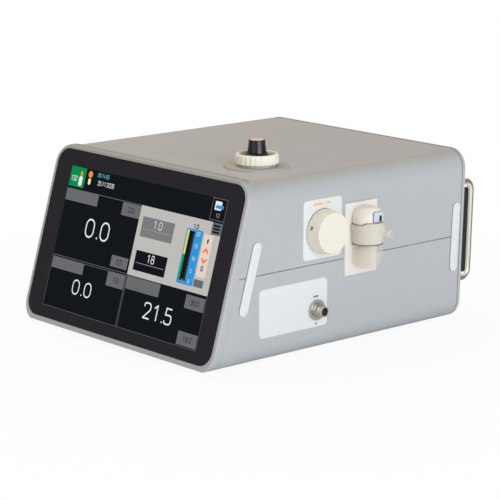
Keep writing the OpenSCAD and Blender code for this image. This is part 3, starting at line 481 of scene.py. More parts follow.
rodTree = makeRodTree()


def rodShape(path, radius, sides, finish):
    mesh = bpy.data.meshes.new("path")
    mesh.from_pydata([tuple(p) for p in path], [(i, i + 1) for i in range(len(path) - 1)], [])
    rod = grown("rod", rodTree, {"Rod radius": radius*mm, "Sides": sides}, finish, mesh)
    return [v.co.copy() for v in rod.vertices], [tuple(f.vertices) for f in rod.polygons]


# camera at the photograph's place
cameraView = {"azimuth": 48.434, "elevation": 12.664, "roll": 0.105, "lens": 152.7, "sensor": 36,
              "at": (1426.75, -1102.1, 490.5), "farthest": 50}
eye = bpy.data.cameras.new("photoCamera")
eye.sensor_width = cameraView["sensor"]
eye.lens = cameraView["lens"]
eye.clip_end = cameraView["farthest"]
eyeObject = toScene("photoCamera", eye)
eyeObject.location = at(*cameraView["at"])
turns = (("azimuth", 0, 1, "Z"), ("elevation", 90, -1, "X"), ("roll", 0, 1, "Z"))
facing = Matrix.Identity(3)
for key, start, way, axis in turns:
    facing = facing @ Matrix.Rotation(math.radians(start + way*cameraView[key]), 3, axis)
eyeObject.rotation_euler = facing.to_euler()
scene.camera = eyeObject


# front frame with a rounded outer edge and a pocket for the glass
# rear steps are (inset, depth), pocket and glass steps (growth, height)
frontFrame = {
    "edge": 2.6, "edgeSteps": 6, "edgeRun": 0.8, "corner": 14,
    "rearSteps": ((3, 0), (0.14, 0.45), (0.14, 0), (0.04, -0.06), (0, -0.2)),
    "pocketSteps": ((0.6, 0), (0.38, -0.08), (0.3, -0.3), (0.3, -3), (-5, -3), (-5, -8)),
    "glassWide": 259.5, "glassHigh": 155.3, "glassRadius": 14, "glassFoot": 6.5,
    "glassSteps": ((-0.3, -3), (0, -2.7), (0, -0.45), (-0.1, -0.18), (-0.4, -0.02), (-0.7, 0)),
}


def casingLoop(inset, brow=0.0):
    high = casing["height"] + brow
    wide, radius = casing["width"] - 2*inset, casing["edgeRadius"] - inset
    return [(x, z + high/2) for x, z in roundedLoop(wide, high - 2*inset, radius, frontFrame["corner"])]


def frameLoop(inset):  # the frame stands above the shell's top and ends above its foot
    return [(x, max(z, casing["frameLip"] + inset)) for x, z in casingLoop(inset, casing["frameBrow"])]


def slopeLoop(inset):  # outline of the front face, drawn in by an even margin
    flat = [Vector((x, z/frontCos)) for x, z in frameLoop(0)]
    out = []
    for i, p in enumerate(flat):
        along = flat[(i + 1) % len(flat)] - flat[i - 1]
        out.append(p + Vector((-along.y, along.x)).normalized()*inset)
    return out


def tubeLoop(inset, depth):
    return [at(x, z*frontTan + depth, z) for x, z in frameLoop(inset)]


def glassLoop(grow, n):
    s = frontFrame
    pts = roundedLoop(s["glassWide"] + 2*grow, s["glassHigh"] + 2*grow, s["glassRadius"] + grow, s["corner"])
    return [onFront(u, v + s["glassFoot"] + s["glassHigh"]/2, n) for u, v in pts]


def makeFront():
    s = frontFrame
    back = casing["frameDepth"]/frontCos
    loops = [tubeLoop(inset, back + depth) for inset, depth in s["rearSteps"]]
    start, outer = tubeLoop(0, s["edge"]), tubeLoop(0, 0)
    end = [onFront(p.x, p.y) for p in slopeLoop(s["edge"]*s["edgeRun"])]
    for k in range(s["edgeSteps"] + 1):
        t = k/s["edgeSteps"]
        loops.append([a*(1 - t)**2 + b*2*t*(1 - t) + c*t*t for a, b, c in zip(start, outer, end)])
    loops += [glassLoop(grow, n) for grow, n in s["pocketSteps"]]
    addPiece("frontFrame", hoop(loops), "framePaint", stands=("front_frame",), sharp=40)
    addPiece("coverGlass", skin([glassLoop(grow, n) for grow, n in s["glassSteps"]]), "borderGlass",
             stands=("touch_glass",), sharp=40)


makeFront()
print("front made")

# upper and lower shell and rear panel, their joint edges eased
shellEdges = {"upper_shell": 0.45, "lower_shell": 0.45, "rear_panel": 0.6}
for shell, width in shellEdges.items():
    softCopy(shell, "casingPaint", slot="casing_paint", width=width)

# dark joint line between the shells and the rear panel
rearJoint = {"half": 0.3, "levels": (-0.03, 0.6), "back": 3.7}


def makeRearJoint():
    s = rearJoint
    shallow, deep = s["levels"]
    loops = []
    for inset, way in ((deep, -1), (shallow, -1), (shallow, 1), (deep, 1)):
        loops.append([onRear(x, z/rearCos, way*s["half"] - s["back"]) for x, z in casingLoop(inset)])
    addPiece("rearJoint", hoop(loops), "gapAndShadowDark")


makeRearJoint()
print("shells made")

# slim strips on both sides, each with a thin painted shadow beside it; spots are (y, z, lean)
strips = {
    "wide": 9.3, "long": 64.0, "endRadius": 4.64, "spots": ((44.4, 76.7, 16.4), (294.0, 77.7, 2.8)),
    "levels": ((0, -0.1), (0, 0.55), (0.12, 0.85), (0.4, 1.08), (0.9, 1.2)),
    "shadowShift": -0.45, "shadowLevels": ((0, 0.02), (0, 0.2)),
}


def makeStrips():
    s = strips
    shapes, shadows = [], []
    for side in (1, -1):
        for y, z, lean in s["spots"]:
            c, n = cosSin(lean)
            place = lambda a, b, h: onSide(y + a*c + b*n, z - a*n + b*c, h, side)
            size = (s["wide"], s["long"], s["endRadius"])
            shapes.append(plate(*size, s["levels"], place, 14))
            shadows.append(plate(*size, s["shadowLevels"], moved(place, s["shadowShift"], 0), 14))
    addPiece("sideStrips", joined(*shapes), "stripPlastic", stands=("trim_strips",),
             sharp=40)
    # grey plates shifted out from under the strips: painted shadow along their front edges
    addPiece("stripShadows", joined(*shadows), "shadowGrey", sharp=40)


makeStrips()

# film labels on the right side, each with a hole
labelLevels = ((0, -0.05), (0, 0.34), (0.06, 0.45), (0.22, 0.5))
labels = {
    "selectorLabel": {"node": "selector_label", "at": (127.4, 109.2), "size": (45.2, 52.3, 4),
                      "hole": (0.1, -2.3, 5.1)},
    "socketLabel": {"node": "socket_label", "at": (93.9, 44.3), "size": (78.8, 42.4, 4),
                    "hole": (26.5, -6.0, 7.6)},
}
for name, s in labels.items():
    addPiece(name, holedPlate(*s["size"], labelLevels, moved(onSide, *s["at"]), s["hole"]), "labelFilm",
             stands=(s["node"],), sharp=40)

# plain printed bars, a dash and a dot: (y, z, wide, high) on the side
printLevels, printRound = ((0, 0.49), (0, 0.54)), 0.45
prints = {
    "labelBars": {"finish": "labelPrint", "spots": ((121.9, 131.1, 11.4, 1.9), (133.3, 131.4, 7.1, 1.9))},
    "labelDots": {"finish": "labelLine", "spots": ((119.9, 50.2, 6.4, 1.5), (120.2, 25.9, 2.2, 2.2))},
}
for name, s in prints.items():
    shapes = [plate(wide, high, high*printRound, printLevels, moved(onSide, y, z), 6)
              for y, z, wide, high in s["spots"]]
    addPiece(name, joined(*shapes), s["finish"])
print("strips and labels made")

# dose valve on top: plate with hub, fluted lock ring, pale skirt disc, dark flared grip and domed cap
doseValve = {
    "at": (72.1, 107.0),
    "plate": [(6.6, 0), (29.4, 0), (29.4, 0.4, 0.2), (28.85, 0.45), (28.8, 1.2, 0.4), (17, 1.2, 0.3),
              (17, 3.2, 0.3), (15, 3.2), (15, 7.5, 0.5), (10.6, 7.5, 0.4), (10.6, 3), (6.6, 3), (6.6, 0)],
    "ring": [(15.08, 3.4), (18.75, 3.4), (19.25, 3.9, 0.3), (19.25, 10.5, 0.9), (17.75, 12, 0.7),
             (16.25, 12, 0.5), (15.08, 10), (15.08, 3.4)],
    "ribs": 26, "ribSteps": 10, "ribDepth": 0.5, "ribPower": 1.6, "ribFrom": 17.75, "ribTo": 19.05,
    "skirt": [(4, 8.1), (14.4, 8.1, 0.2), (14.4, 9.2, 0.3), (10.7, 10.5, 0.2), (4, 10.5), (4, 8.1)],
    "grip": [(0.02, 17.1), (3, 17.1), (3, 8.2), (3.9, 8.2), (3.9, 10.45), (10.6, 10.5, 0.15),
             (9.3, 11.3, 0.9), (8.3, 13.5, 1.6), (7.2, 23.4, 0.3), (6.9, 23.9, 0.2), (6.34, 23.9, 0.1),
             (6.34, 23.1), (0.02, 23.1)],
    "cap": [(0.02, 23.12), (6.3, 23.12), (6.3, 23.9)], "capRise": 0.6, "capSteps": 10,
}
onValve = moved(at, *doseValve["at"], casing["height"])


def makeRibTree():  # draws a plain ring in between its ribs, most at its full radius
    tree, given = nodeTree("ringRibs", {"Centre": "Vector", "Ribs": "Float", "Depth": "Float",
                                        "Power": "Float", "Reach from": "Float", "Reach to": "Float"})

    def calc(operation, *terms):
        return addNode(tree, "ShaderNodeMath", dict(enumerate(terms)), operation=operation).outputs["Value"]

    spot = addNode(tree, "GeometryNodeInputPosition").outputs["Position"]
    away = addNode(tree, "ShaderNodeVectorMath", {0: spot, 1: given["Centre"]}, operation="SUBTRACT")
    split = addNode(tree, "ShaderNodeSeparateXYZ", {"Vector": away.outputs["Vector"]}).outputs
    flat = addNode(tree, "ShaderNodeCombineXYZ", {"X": split["X"], "Y": split["Y"]}).outputs["Vector"]
    far = addNode(tree, "ShaderNodeVectorMath", {0: flat}, operation="LENGTH").outputs["Value"]
    turn = calc("MULTIPLY", calc("ARCTAN2", split["Y"], split["X"]), calc("DIVIDE", given["Ribs"], 2.0))
    wave = calc("POWER", calc("ABSOLUTE", calc("SINE", turn)), given["Power"])
    reach = addNode(tree, "ShaderNodeMapRange", {"Value": far, "From Min": given["Reach from"],
                                                 "From Max": given["Reach to"]}).outputs["Result"]
    deep = calc("MULTIPLY", calc("MULTIPLY", wave, reach), given["Depth"])
    inward = calc("MULTIPLY", deep, -1.0)
    way = addNode(tree, "ShaderNodeVectorMath", {0: flat}, operation="NORMALIZE").outputs["Vector"]
    shift = addNode(tree, "ShaderNodeVectorMath", {0: way, "Scale": inward}, operation="SCALE")
    drawn = addNode(tree, "GeometryNodeSetPosition", {"Geometry": given["Geometry"],
                                                      "Offset": shift.outputs["Vector"]})
    return endTree(tree, given, drawn.outputs["Geometry"])


def makeDoseValve():
    s = doseValve
    addPiece("valvePlate", turnedRing(s["plate"], onValve, 128), "valveGrey",
             stands=("valve_plate",))
    ring = toMesh("lockRing", *turnedRing(s["ring"], onValve, s["ribs"]*s["ribSteps"]))
    sizes = {"Centre": onValve(0, 0, 0), "Ribs": float(s["ribs"]), "Depth": s["ribDepth"]*mm,
             "Power": s["ribPower"], "Reach from": s["ribFrom"]*mm, "Reach to": s["ribTo"]*mm}
    ring = grown("lockRing", makeRibTree(), sizes, "ringIvory", ring)
    addPiece("lockRing", ring, "ringIvory", "lock_ring", ("lock_ring",))
    addPiece("doseSkirt", turnedRing(s["skirt"], onValve, 96), "skirtGrey", "dose_knob")
    addPiece("doseKnob", turned(s["grip"], onValve, 96), "knobBlack", "dose_knob", ("dose_knob",))
    cap = list(s["cap"])
    wide, edge = cap[-1]
    for k in range(1, s["capSteps"]):
        c, n = cosSin(90*k/s["capSteps"])
        cap.append((wide*c, edge + s["capRise"]*n))
    cap.append((cap[0][0], edge + s["capRise"]))
    addPiece("knobCap", turned(cap, onValve), "capPeach", "dose_knob", ("knob_cap",))


makeDoseValve()
softCopy("valve_nut", "screwSteel", slot="steel", width=0.25)
print("dose valve made")

# selector knob with a grub screw in its side and a painted shadow line on the label above it
selector = {
    "at": (127.5, 106.9),
    "knob": [(0.02, 11), (3, 11), (3, 2.4), (8.6, 2.4), (8.6, 1), (19.5, 1, 0.5), (19.5, 3.9, 0.5),
             (17.7, 14.5, 1), (0.02, 14.5)],
    "grubTurn": 163, "grubHeight": 5.4, "grubRadius": 2.0, "grubReach": (12.05, 24.0), "grubSteps": 28,
    "line": [(18.6, 0.49), (18.95, 0.49), (18.95, 0.56), (18.6, 0.56), (18.6, 0.49)], "knobShadowShift": 0.85,
}
onSelector = moved(onSide, *selector["at"])


def makeSelector():
    s = selector
    c, n = cosSin(s["grubTurn"])
    hole = []
    for far in s["grubReach"]:
        ring = []
        for i in range(s["grubSteps"]):
            side, up = (s["grubRadius"]*k for k in cosSin(360*i/s["grubSteps"]))
            ring.append(onSelector(c*far - n*side, n*far + c*side, s["grubHeight"] + up))
        hole.append(ring)
    knob = toMesh("selectorKnob", *turned(s["knob"], onSelector, 120, 7))
    addPiece("selectorKnob", carve(knob, toMesh("grubHole", *skin(hole))), "knobCream", "selector",
             ("selector_knob",))
    # painted shadow: a thin dark crescent on the label, shifted up so it peeks out only above the knob
    line = turnedRing(s["line"], moved(onSelector, 0, s["knobShadowShift"]), 120)
    addPiece("knobShadowLine", line, "gapAndShadowDark")


makeSelector()
softCopy("selector_grub", "plasticBlack", "selector", "black", width=0.12)
softCopy("selector_bush", "turnedBrass", slot="brass", width=0.2)
print("selector made")

# water trap: round towards its front, flat at its back; levels are (radius, inset of the flat, z, tongue)
trap = {
    "at": (143.5, 172.6), "flat": 6.9, "tongueRise": 1.8, "tongueFrom": (-13.0, 2.6), "tongueTo": (9.5, 3.5),
    "head": ((13.6, 0, 109.6, 1), (13.6, 0, 112.2, 0.3), (13.6, 0, 113.9)),
    "headTop": 124.0, "shoulder": 10.0, "brow": 6.0, "shoulderSteps": 14,
    "pocket": [(-5.9, 105.6), (24, 105.6), (24, 121.1)], "pocketCorner": (-3.3, 118.5, 2.6),
    "pocketReach": (10.9, 22),
    "collar": ((11.4, 1.6, 94.8), (11.4, 1.6, 91.9), (13.3, 0, 91.9), (13.6, 0, 92.4), (13.8, 0, 93.2),
               (13.9, 0, 94.2), (13.95, 0, 101.6), (14.05, 0, 105.6, 0.2), (14.3, 0, 107.4, 0.5),
               (14.3, 0, 108.7, 0.9), (14.05, 0, 109.4, 1), (13.65, 0, 109.6, 1)),
    "collarEdge": ((13.8, -0.02, 109, 1), (14.38, -0.02, 109, 1), (14.1, -0.02, 109.7, 1),
                   (13.7, -0.02, 109.74, 1)),
    "earAt": (12.4, -5.6, 106.0), "earRadius": 2.3, "bossAt": (6.5, 103.0, 8.35), "bossRadius": 6.2,
    "nippleAt": (7, 104), "nippleSink": 0.5, "nipple": [(2.6, 0), (2.6, 10, 0.6), (1, 10), (1, 6)],
    "seal": ((11.4, 1.6, 91.2), (13.6, 0, 91.2), (13.7, 0, 91.3), (13.7, 0, 91.7), (13.6, 0, 91.8),
             (11.4, 1.6, 91.8)),
    "portTurn": 25.0, "portAt": 101.0,
    "port": [(0.02, 10.5), (3, 10.5), (3, 19, 0.3), (3.75, 19.3, 0.4), (3.75, 22, 0.5), (2.1, 22, 0.3),
             (2.1, 16.4), (0.02, 16.4)],
    "cupFoot": 69.6, "cupRadius": 13.6, "cupRound": 7.0, "cupWall": 1.3, "cupSteps": 8,
    "cupRim": ((13.6, 0, 90.5), (13.5, 0, 90.95), (13.2, 0, 91.05), (11, 2, 91.05), (11, 2, 94.6),
               (9.7, 3.3, 94.6), (9.7, 3.3, 87.35), (12.3, 1.3, 87.35)),
}

# flat pieces on the trap's face: (right, up, out), (wide, high, corner) and levels
trapFace = {
    # a dark plate showing past the label's left and top edges: painted shade of the pocket's edge
    "labelEdgeShade": {"finish": "edgeShadeGrey", "at": (0.8, 116.2, 10.9), "size": (13.0, 9.3, 2.2),
                    "levels": ((0, 0.01), (0, 0.06))},
    "trapLabel": {"finish": "trapBlue", "at": (1.8, 115.8, 10.97), "size": (11.0, 8.6, 1.6),
                  "levels": ((0, 0), (0, 0.3), (0.12, 0.42)), "stands": ("trap_label",)},
    "labelMark": {"finish": "plasticBlack", "at": (4.4, 114.3, 11.38), "size": (3.2, 5.4, 1.4),
                  "levels": ((0, 0), (0, 0.04))},
}


def onTrap(a, b, z):  # a to the rear, b out of the side, z up
    return at(trap["at"][0] + b, trap["at"][1] + a, z)


def onTrapFace(a, z, h):
    return onTrap(a, h, z)


def trapLoop(r, flat, count=52, back=12):
    flat = min(flat, r*0.98)
    dip = math.asin(flat/r)
    pts = []
    for i in range(count + 1):
        a = -dip + (math.pi + 2*dip)*i/count
        pts.append((r*math.cos(a), r*math.sin(a)))
    end, start = pts[-1], pts[0]
    for i in range(1, back):
        t = i/back
        pts.append((end[0] + (start[0] - end[0])*t, end[1] + (start[1] - end[1])*t))
    return pts


def tongue(a, b):  # the collar's edge is raised at the trap's front
    s = trap
    up = (a - s["tongueFrom"][0])/s["tongueFrom"][1]
    down = (s["tongueTo"][0] - a)/s["tongueTo"][1]
    t = max(0.0, min(1.0, up, down)) if b > 0 else 0.0
    return s["tongueRise"]*t*t*(3 - 2*t)


def trapLevel(r, inset, z, lift=0.0):
    return [onTrap(a, b, z + lift*tongue(a, b)) for a, b in trapLoop(r, trap["flat"] - inset)]


def trapLevels(rows):
    return [trapLevel(*row) for row in rows]


def makeTrapHead():  # domed shoulders and a pocket for the label
    s = trap
    full = s["head"][0][0]
    loops = trapLevels(s["head"])
    for k in range(1, s["shoulderSteps"] + 1):
        c, n = cosSin(90*k/s["shoulderSteps"])
        z = s["headTop"] - s["shoulder"]*(1 - n)
        wide = full - s["shoulder"]*(1 - c)
        lift = max(0.0, (z - s["headTop"] + s["brow"])/s["brow"])
        deep = full - s["brow"]*(1 - math.sqrt(1 - min(1.0, lift)**2))
        loops.append([onTrap(a*wide/full, b*deep/full if b > 0 else b, z)
                      for a, b in trapLoop(full, s["flat"])])
    x, z, r = s["pocketCorner"]
    corner = [(x - r*n, z + r*c) for c, n in (cosSin(15*k) for k in range(7))]
    pocket = [[onTrap(a, b, z) for a, z in s["pocket"] + corner] for b in s["pocketReach"]]
    mesh = carve(toMesh("trapHead", *skin(loops)), toMesh("pocket", *skin(pocket)))
    addPiece("trapHead", mesh, "headCream", "water_trap", ("trap_head",))


def makeTrapCollar():  # with a boss for the port, two round ears and two gas nipples
    s = trap
    arc = [cosSin(min(10*k - 88, 88)) for k in range(19)]
    ball = lambda radius: [(radius*c, radius*n) for c, n in arc]
    shapes = [skin(trapLevels(s["collar"])),
              turned(ball(s["bossRadius"]), moved(onTrapFace, *s["bossAt"]), 48)]
    ear, nipple = s["earAt"], s["nippleAt"]
    for way in (-1, 1):
        place = lambda a, b, h: onTrap(way*(ear[0] + a), max(-s["flat"], ear[1] + b), ear[2] + h)
        shapes.append(turned(ball(s["earRadius"]), place, 40))
        place = lambda a, b, h: onTrap(way*nipple[0] + a, s["nippleSink"] - s["flat"] - h, nipple[1] + b)
        shapes.append(turned(s["nipple"], place, 32))
    addPiece("trapCollar", joined(*shapes), "trapSmoke", "water_trap", ("trap_collar",))
    addPiece("collarEdge", hoop(trapLevels(s["collarEdge"])), "collarEdge", "water_trap")
    addPiece("trapSeal", hoop(trapLevels(s["seal"])), "sealRubber", "water_trap", ("trap_seal",))


def makeSamplePort():  # luer barrel with a rim, pointing out and a little to the rear
    s = trap
    c, n = cosSin(s["portTurn"])
    place = lambda a, b, h: onTrap(h*n + a*c, h*c - a*n, s["portAt"] + b)
    addPiece("samplePort", turned(s["port"], place, 56), "portPale", "water_trap", ("sample_port",))


def makeTrapCup():  # clear, with a neck that goes up into the collar
    s = trap
    middle = s["cupRadius"] - s["cupRound"]
    arc = [cosSin(90*k/s["cupSteps"]) for k in range(s["cupSteps"] + 1)]
    bowl = []
    for wall in (0, s["cupWall"]):
        bend, foot = s["cupRound"] - wall, s["cupFoot"] + wall
        bowl.append([(middle + bend*n, wall, foot + bend*(1 - c)) for c, n in arc])
    loops = trapLevels(bowl[0] + list(s["cupRim"]) + bowl[1][::-1])
    addPiece("trapCup", skin(loops), "trapClear", "trap_cup", ("trap_cup",), sharp=40)


makeTrapHead()
for name, s in trapFace.items():
    addPiece(name, plate(*s["size"], s["levels"], moved(onTrapFace, *s["at"])), s["finish"], "water_trap",
             s.get("stands", ()))
makeTrapCollar()
makeSamplePort()
makeTrapCup()
softCopy("trap_receptacle", "trapCream", slot="cream", width=0.3)
print("water trap made")

# sensor socket: stepped plated shell, insert and pins
socket = {
    "at": (120.4, 38.3),
    "shell": [(3.6, -12), (7.5, -12), (7.5, 0.5), (9.1, 0.5, 0.15), (9.1, 2.7, 0.25), (6.8, 2.8, 0.15),
              (6.6, 4.2, 0.3), (5.4, 4.3, 0.1), (5.3, 8.6, 0.3), (4.85, 8.7, 0.1), (4.8, 11.5, 0.35),
              (3.6, 11.5, 0.15), (3.6, -12)],
    "insert": [(0.02, -14), (3.59, -14), (3.59, 6, 0.25), (0.02, 6)],
    "pin": [(0.45, 5.5), (0.45, 9.5, 0.3), (0.02, 9.5)], "pins": 5, "pinCircle": 1.8,
}
onSocket = moved(onSide, *socket["at"])


def makeSocket():
    s = socket
    addPiece("socketShell", turnedRing(s["shell"], onSocket), "socketNickel",
             stands=("socket_shell",))
    addPiece("socketInsert", turned(s["insert"], onSocket, 48), "plasticBlack",
             stands=("socket_insert",))
    spots = [cosSin(360*k/s["pins"]) for k in range(s["pins"])]
    shapes = [turned(s["pin"], moved(onSocket, s["pinCircle"]*c, s["pinCircle"]*n), 14) for c, n in spots]
    addPiece("socketPins", joined(*shapes), "turnedBrass")


makeSocket()
print("socket made")

# carrying handles: bent rods with ferrules; the painted dark reflection on each rod fades in towards (way,
# start, run)
handles = {
    "nodes": {"rear_handle_right": 1, "rear_handle_left": -1},
    "x": 117.0, "mid": 78.5, "pitch": 91.0, "reach": 27.0, "bend": 9.0, "bendSteps": 12,
    "rod": 3.0, "sides": 32,
    "ferrule": [(2.6, 0), (5, 0), (5, 2, 0.6), (3.4, 2.2, 0.2), (2.6, 2.2), (2.6, 0)],
    "paintedReflection": ((Vector((0.66, 0.75, 0)), 0.3, 0.35), (Vector((0.75, -0.66, 0)), 0.1, 0.2)),
}


def makeHandle(node, side):
    s = handles
    half, bend = s["pitch"]/2, s["bend"]
    flat = [(half, 0.0), (half, s["reach"] - bend)]
    for k in range(1, s["bendSteps"] + 1):
        c, n = cosSin(90*k/s["bendSteps"])
        flat.append((half - bend*(1 - c), s["reach"] - bend*(1 - n)))
    flat += [(-v, n) for v, n in reversed(flat)]
    path = [onRear(side*s["x"], s["mid"] + v, n) for v, n in flat]
    shapes = [rodShape(path, s["rod"], s["sides"], "handleSteel")]
    for way in (-1, 1):
        shapes.append(turnedRing(s["ferrule"], moved(onRear, side*s["x"], s["mid"] + way*half), 40))
    mesh = toMesh(node, *joined(*shapes))
    # the painted dark reflection is kept as a point attribute, strongest on the rod's outer side
    paintedReflection = mesh.attributes.new("paintedReflection", "FLOAT", "POINT")
    for v in mesh.vertices:
        strength = 1.0
        for way, start, run in s["paintedReflection"]:
            strength *= min(1, max(0, (v.normal.dot(way) - start)/run))
        paintedReflection.data[v.index].value = strength
    addPiece(node + "Rod", mesh, "handleSteel", stands=(node,), sharp=50)


for node, side in handles["nodes"].items():
    makeHandle(node, side)

# rear screws, and the fan guard with its screws, lugs, wire rings and bars
rearSet = {
    "screws": ((-126.5, 30), (126.5, 30), (-126.5, 125), (126.5, 125), (0, 150), (0, 6.5)),
    "screw": {"Head radius": 2.9, "Top radius": 2.3, "Head height": 1.8, "Socket radius": 1.2},
    "fan": (-62.0, 98.0), "fanHole": 35.75,
    "fanScrew": {"Head radius": 3.6, "Top radius": 2.9, "Head height": 1.8, "Socket radius": 1.4},
    "lug": [(3.8, 0), (3.8, 3, 0.5), (2, 3)], "lugHigh": 3.0,
    "rings": 4, "ring": {"First radius": 10, "Step": 9, "Wire radius": 0.9}, "ringOut": 3.0,
    "bar": 1.2, "barSides": 16, "barLong": 95.0, "barOut": 1.6,
}


def makeScrewTree():  # tapered heads with a hexagon socket
    tree, given = nodeTree("buttonScrews", {"Head radius": "Float", "Head height": "Float",
                                            "Top radius": "Float", "Socket radius": "Float",
                                            "Facing": "Vector"})
    high = given["Head height"]
    head = addNode(tree, "GeometryNodeMeshCone", {"Vertices": 36, "Radius Top": given["Top radius"],
                                                  "Radius Bottom": given["Head radius"], "Depth": high})
    hexagon = addNode(tree, "GeometryNodeMeshCylinder", {"Vertices": 6, "Radius": given["Socket radius"],
                                                         "Depth": high})
    lift = addNode(tree, "ShaderNodeCombineXYZ", {"Z": high})
    raised = addNode(tree, "GeometryNodeTransform", {"Geometry": hexagon.outputs["Mesh"],
                                                     "Translation": lift.outputs["Vector"]})
    cut = addNode(tree, "GeometryNodeMeshBoolean", {
        "Mesh 1": head.outputs["Mesh"], "Mesh 2": raised.outputs["Geometry"]}, operation="DIFFERENCE")
    facing = addNode(tree, "FunctionNodeAlignRotationToVector", {"Vector": given["Facing"]}, axis="Z")
    spread = addNode(tree, "GeometryNodeInstanceOnPoints", {
        "Points": given["Geometry"], "Instance": cut.outputs["Mesh"], "Rotation": facing.outputs["Rotation"]})
    return endTree(tree, given, spread.outputs["Instances"])


def makeRingTree():  # wire rings round one centre
    tree, given = nodeTree("wireRings", {"Rings": "Int", "First radius": "Float", "Step": "Float",
                                         "Wire radius": "Float"})
    row = addNode(tree, "GeometryNodeMeshLine", {"Count": given["Rings"], "Offset": (0, 0, 0)})
    index = addNode(tree, "GeometryNodeInputIndex").outputs["Index"]
    reach = addNode(tree, "ShaderNodeMath", {0: index, 1: given["Step"], 2: given["First radius"]},
                    operation="MULTIPLY_ADD").outputs["Value"]
    size = addNode(tree, "ShaderNodeCombineXYZ", {"X": reach, "Y": reach, "Z": 1})
    loop = addNode(tree, "GeometryNodeCurvePrimitiveCircle", {"Resolution": 88, "Radius": 1})
    spread = addNode(tree, "GeometryNodeInstanceOnPoints", {
        "Points": row.outputs["Mesh"], "Instance": loop.outputs["Curve"], "Scale": size.outputs["Vector"]})
    real = addNode(tree, "GeometryNodeRealizeInstances", {"Geometry": spread.outputs["Instances"]})
    wire = addNode(tree, "GeometryNodeCurvePrimitiveCircle", {"Resolution": 12,
                                                              "Radius": given["Wire radius"]})
    rod = addNode(tree, "GeometryNodeCurveToMesh", {"Curve": real.outputs["Geometry"],
                                                    "Profile Curve": wire.outputs["Curve"]})
    return endTree(tree, given, rod.outputs["Mesh"])


def inMetres(sizes):
    return {name: size*mm for name, size in sizes.items()}


def makeRear():
    s = rearSet
    fanX, fanV = s["fan"]
    corners = [(fanX + sx*s["fanHole"], fanV + sv*s["fanHole"]) for sx in (-1, 1) for sv in (-1, 1)]
    tree = makeScrewTree()
    for name, size, spots, out, stands in (("rearScrews", "screw", s["screws"], 0, ("rear_screws",)),
                                           ("fanScrews", "fanScrew", corners, s["lugHigh"], ())):
        points = toMesh(name, [onRear(x, v, out) for x, v in spots], [], False)
        mesh = grown(name, tree, {**inMetres(s[size]), "Facing": rearOut}, "screwSteel", points)
        addPiece(name, mesh, "screwSteel", stands=stands, sharp=28)

    mesh = grown("guardRings", makeRingTree(), {**inMetres(s["ring"]), "Rings": s["rings"]}, "screwSteel")
    centre = onRear(fanX, fanV, s["ringOut"])
    for vert in mesh.vertices:
        a, b, h = vert.co
        vert.co = centre + Vector((-a, b*rearSin + h*rearCos, b*rearCos - h*rearSin))
    mesh.update()
    addPiece("guardRings", mesh, "screwSteel", stands=("fan_guard",), sharp=60)
    shapes = []
    reach = s["barLong"]/2*math.sqrt(0.5)
    for way in (1, -1):
        path = [onRear(fanX + t*reach, fanV + way*t*reach, s["barOut"]) for t in (-1, 1)]
        shapes.append(rodShape(path, s["bar"], s["barSides"], "screwSteel"))
    shapes += [turned(s["lug"], moved(onRear, x, v), 32) for x, v in corners]
    addPiece("guardBars", joined(*shapes), "screwSteel", sharp=45)


makeRear()

# rear and base pieces with eased edges: (finish, body, slot, edge)
eased = {
    "handle_guards": ("guardBlack", "housing", "black", 1.0),
    "fan_frame": ("plasticBlack", "housing", "black", 0.4),
    "fan_rotor": ("plasticBlack", "fan_rotor", "black", 0.25),
    "mains_inlet": ("plasticBlack", "housing", "black", 0.5),
    "power_rocker": ("knobBlack", "power_rocker", "black", 0.4),
    "data_port": ("socketNickel", "housing", "nickel", 0.25),
    "earth_stud": ("turnedBrass", "housing", "brass", 0.3),
    "gas_inlets": ("socketNickel", "housing", "nickel", 0.35),
    "hose_barbs": ("turnedBrass", "housing", "brass", 0.25),
    "rubber_feet": ("footRubber", "housing", "rubber", 0.7),
    "base_screws": ("screwSteel", "housing", "steel", 0.2),
}
for node, how in eased.items():
    softCopy(node, *how)
print("rear and base made")

# inner pieces keep their exact shapes and get their finishes
inner = {
    "chassis": "sheetZinc", "display_panel": "plasticBlack", "display_bracket": "sheetZinc",
    "bracket_screws": "screwSteel", "display_board": "boardGreen", "valve_stem": "screwSteel",
    "needle_valve": "turnedBrass", "selector_shaft": "screwSteel", "selector_valve": "milledAlloy",
    "socket_nut": "screwSteel", "speaker": "plasticBlack", "main_board": "boardGreen",
    "board_posts": "screwSteel", "power_supply": "sheetZinc", "battery_pack": "packBlue",
    "gas_manifold": "milledAlloy", "solenoid_valves": "plasticBlack", "sample_pump": "plasticBlack",
    "sensor_block": "milledAlloy", "sensor_cells": "cellWhite",
}
for node, finish in inner.items():
    held = nodes[node].data.materials
    if len(held):
        held[0] = mats[finish]
    else:
        held.append(mats[finish])
print("inner pieces finished:", len(inner))

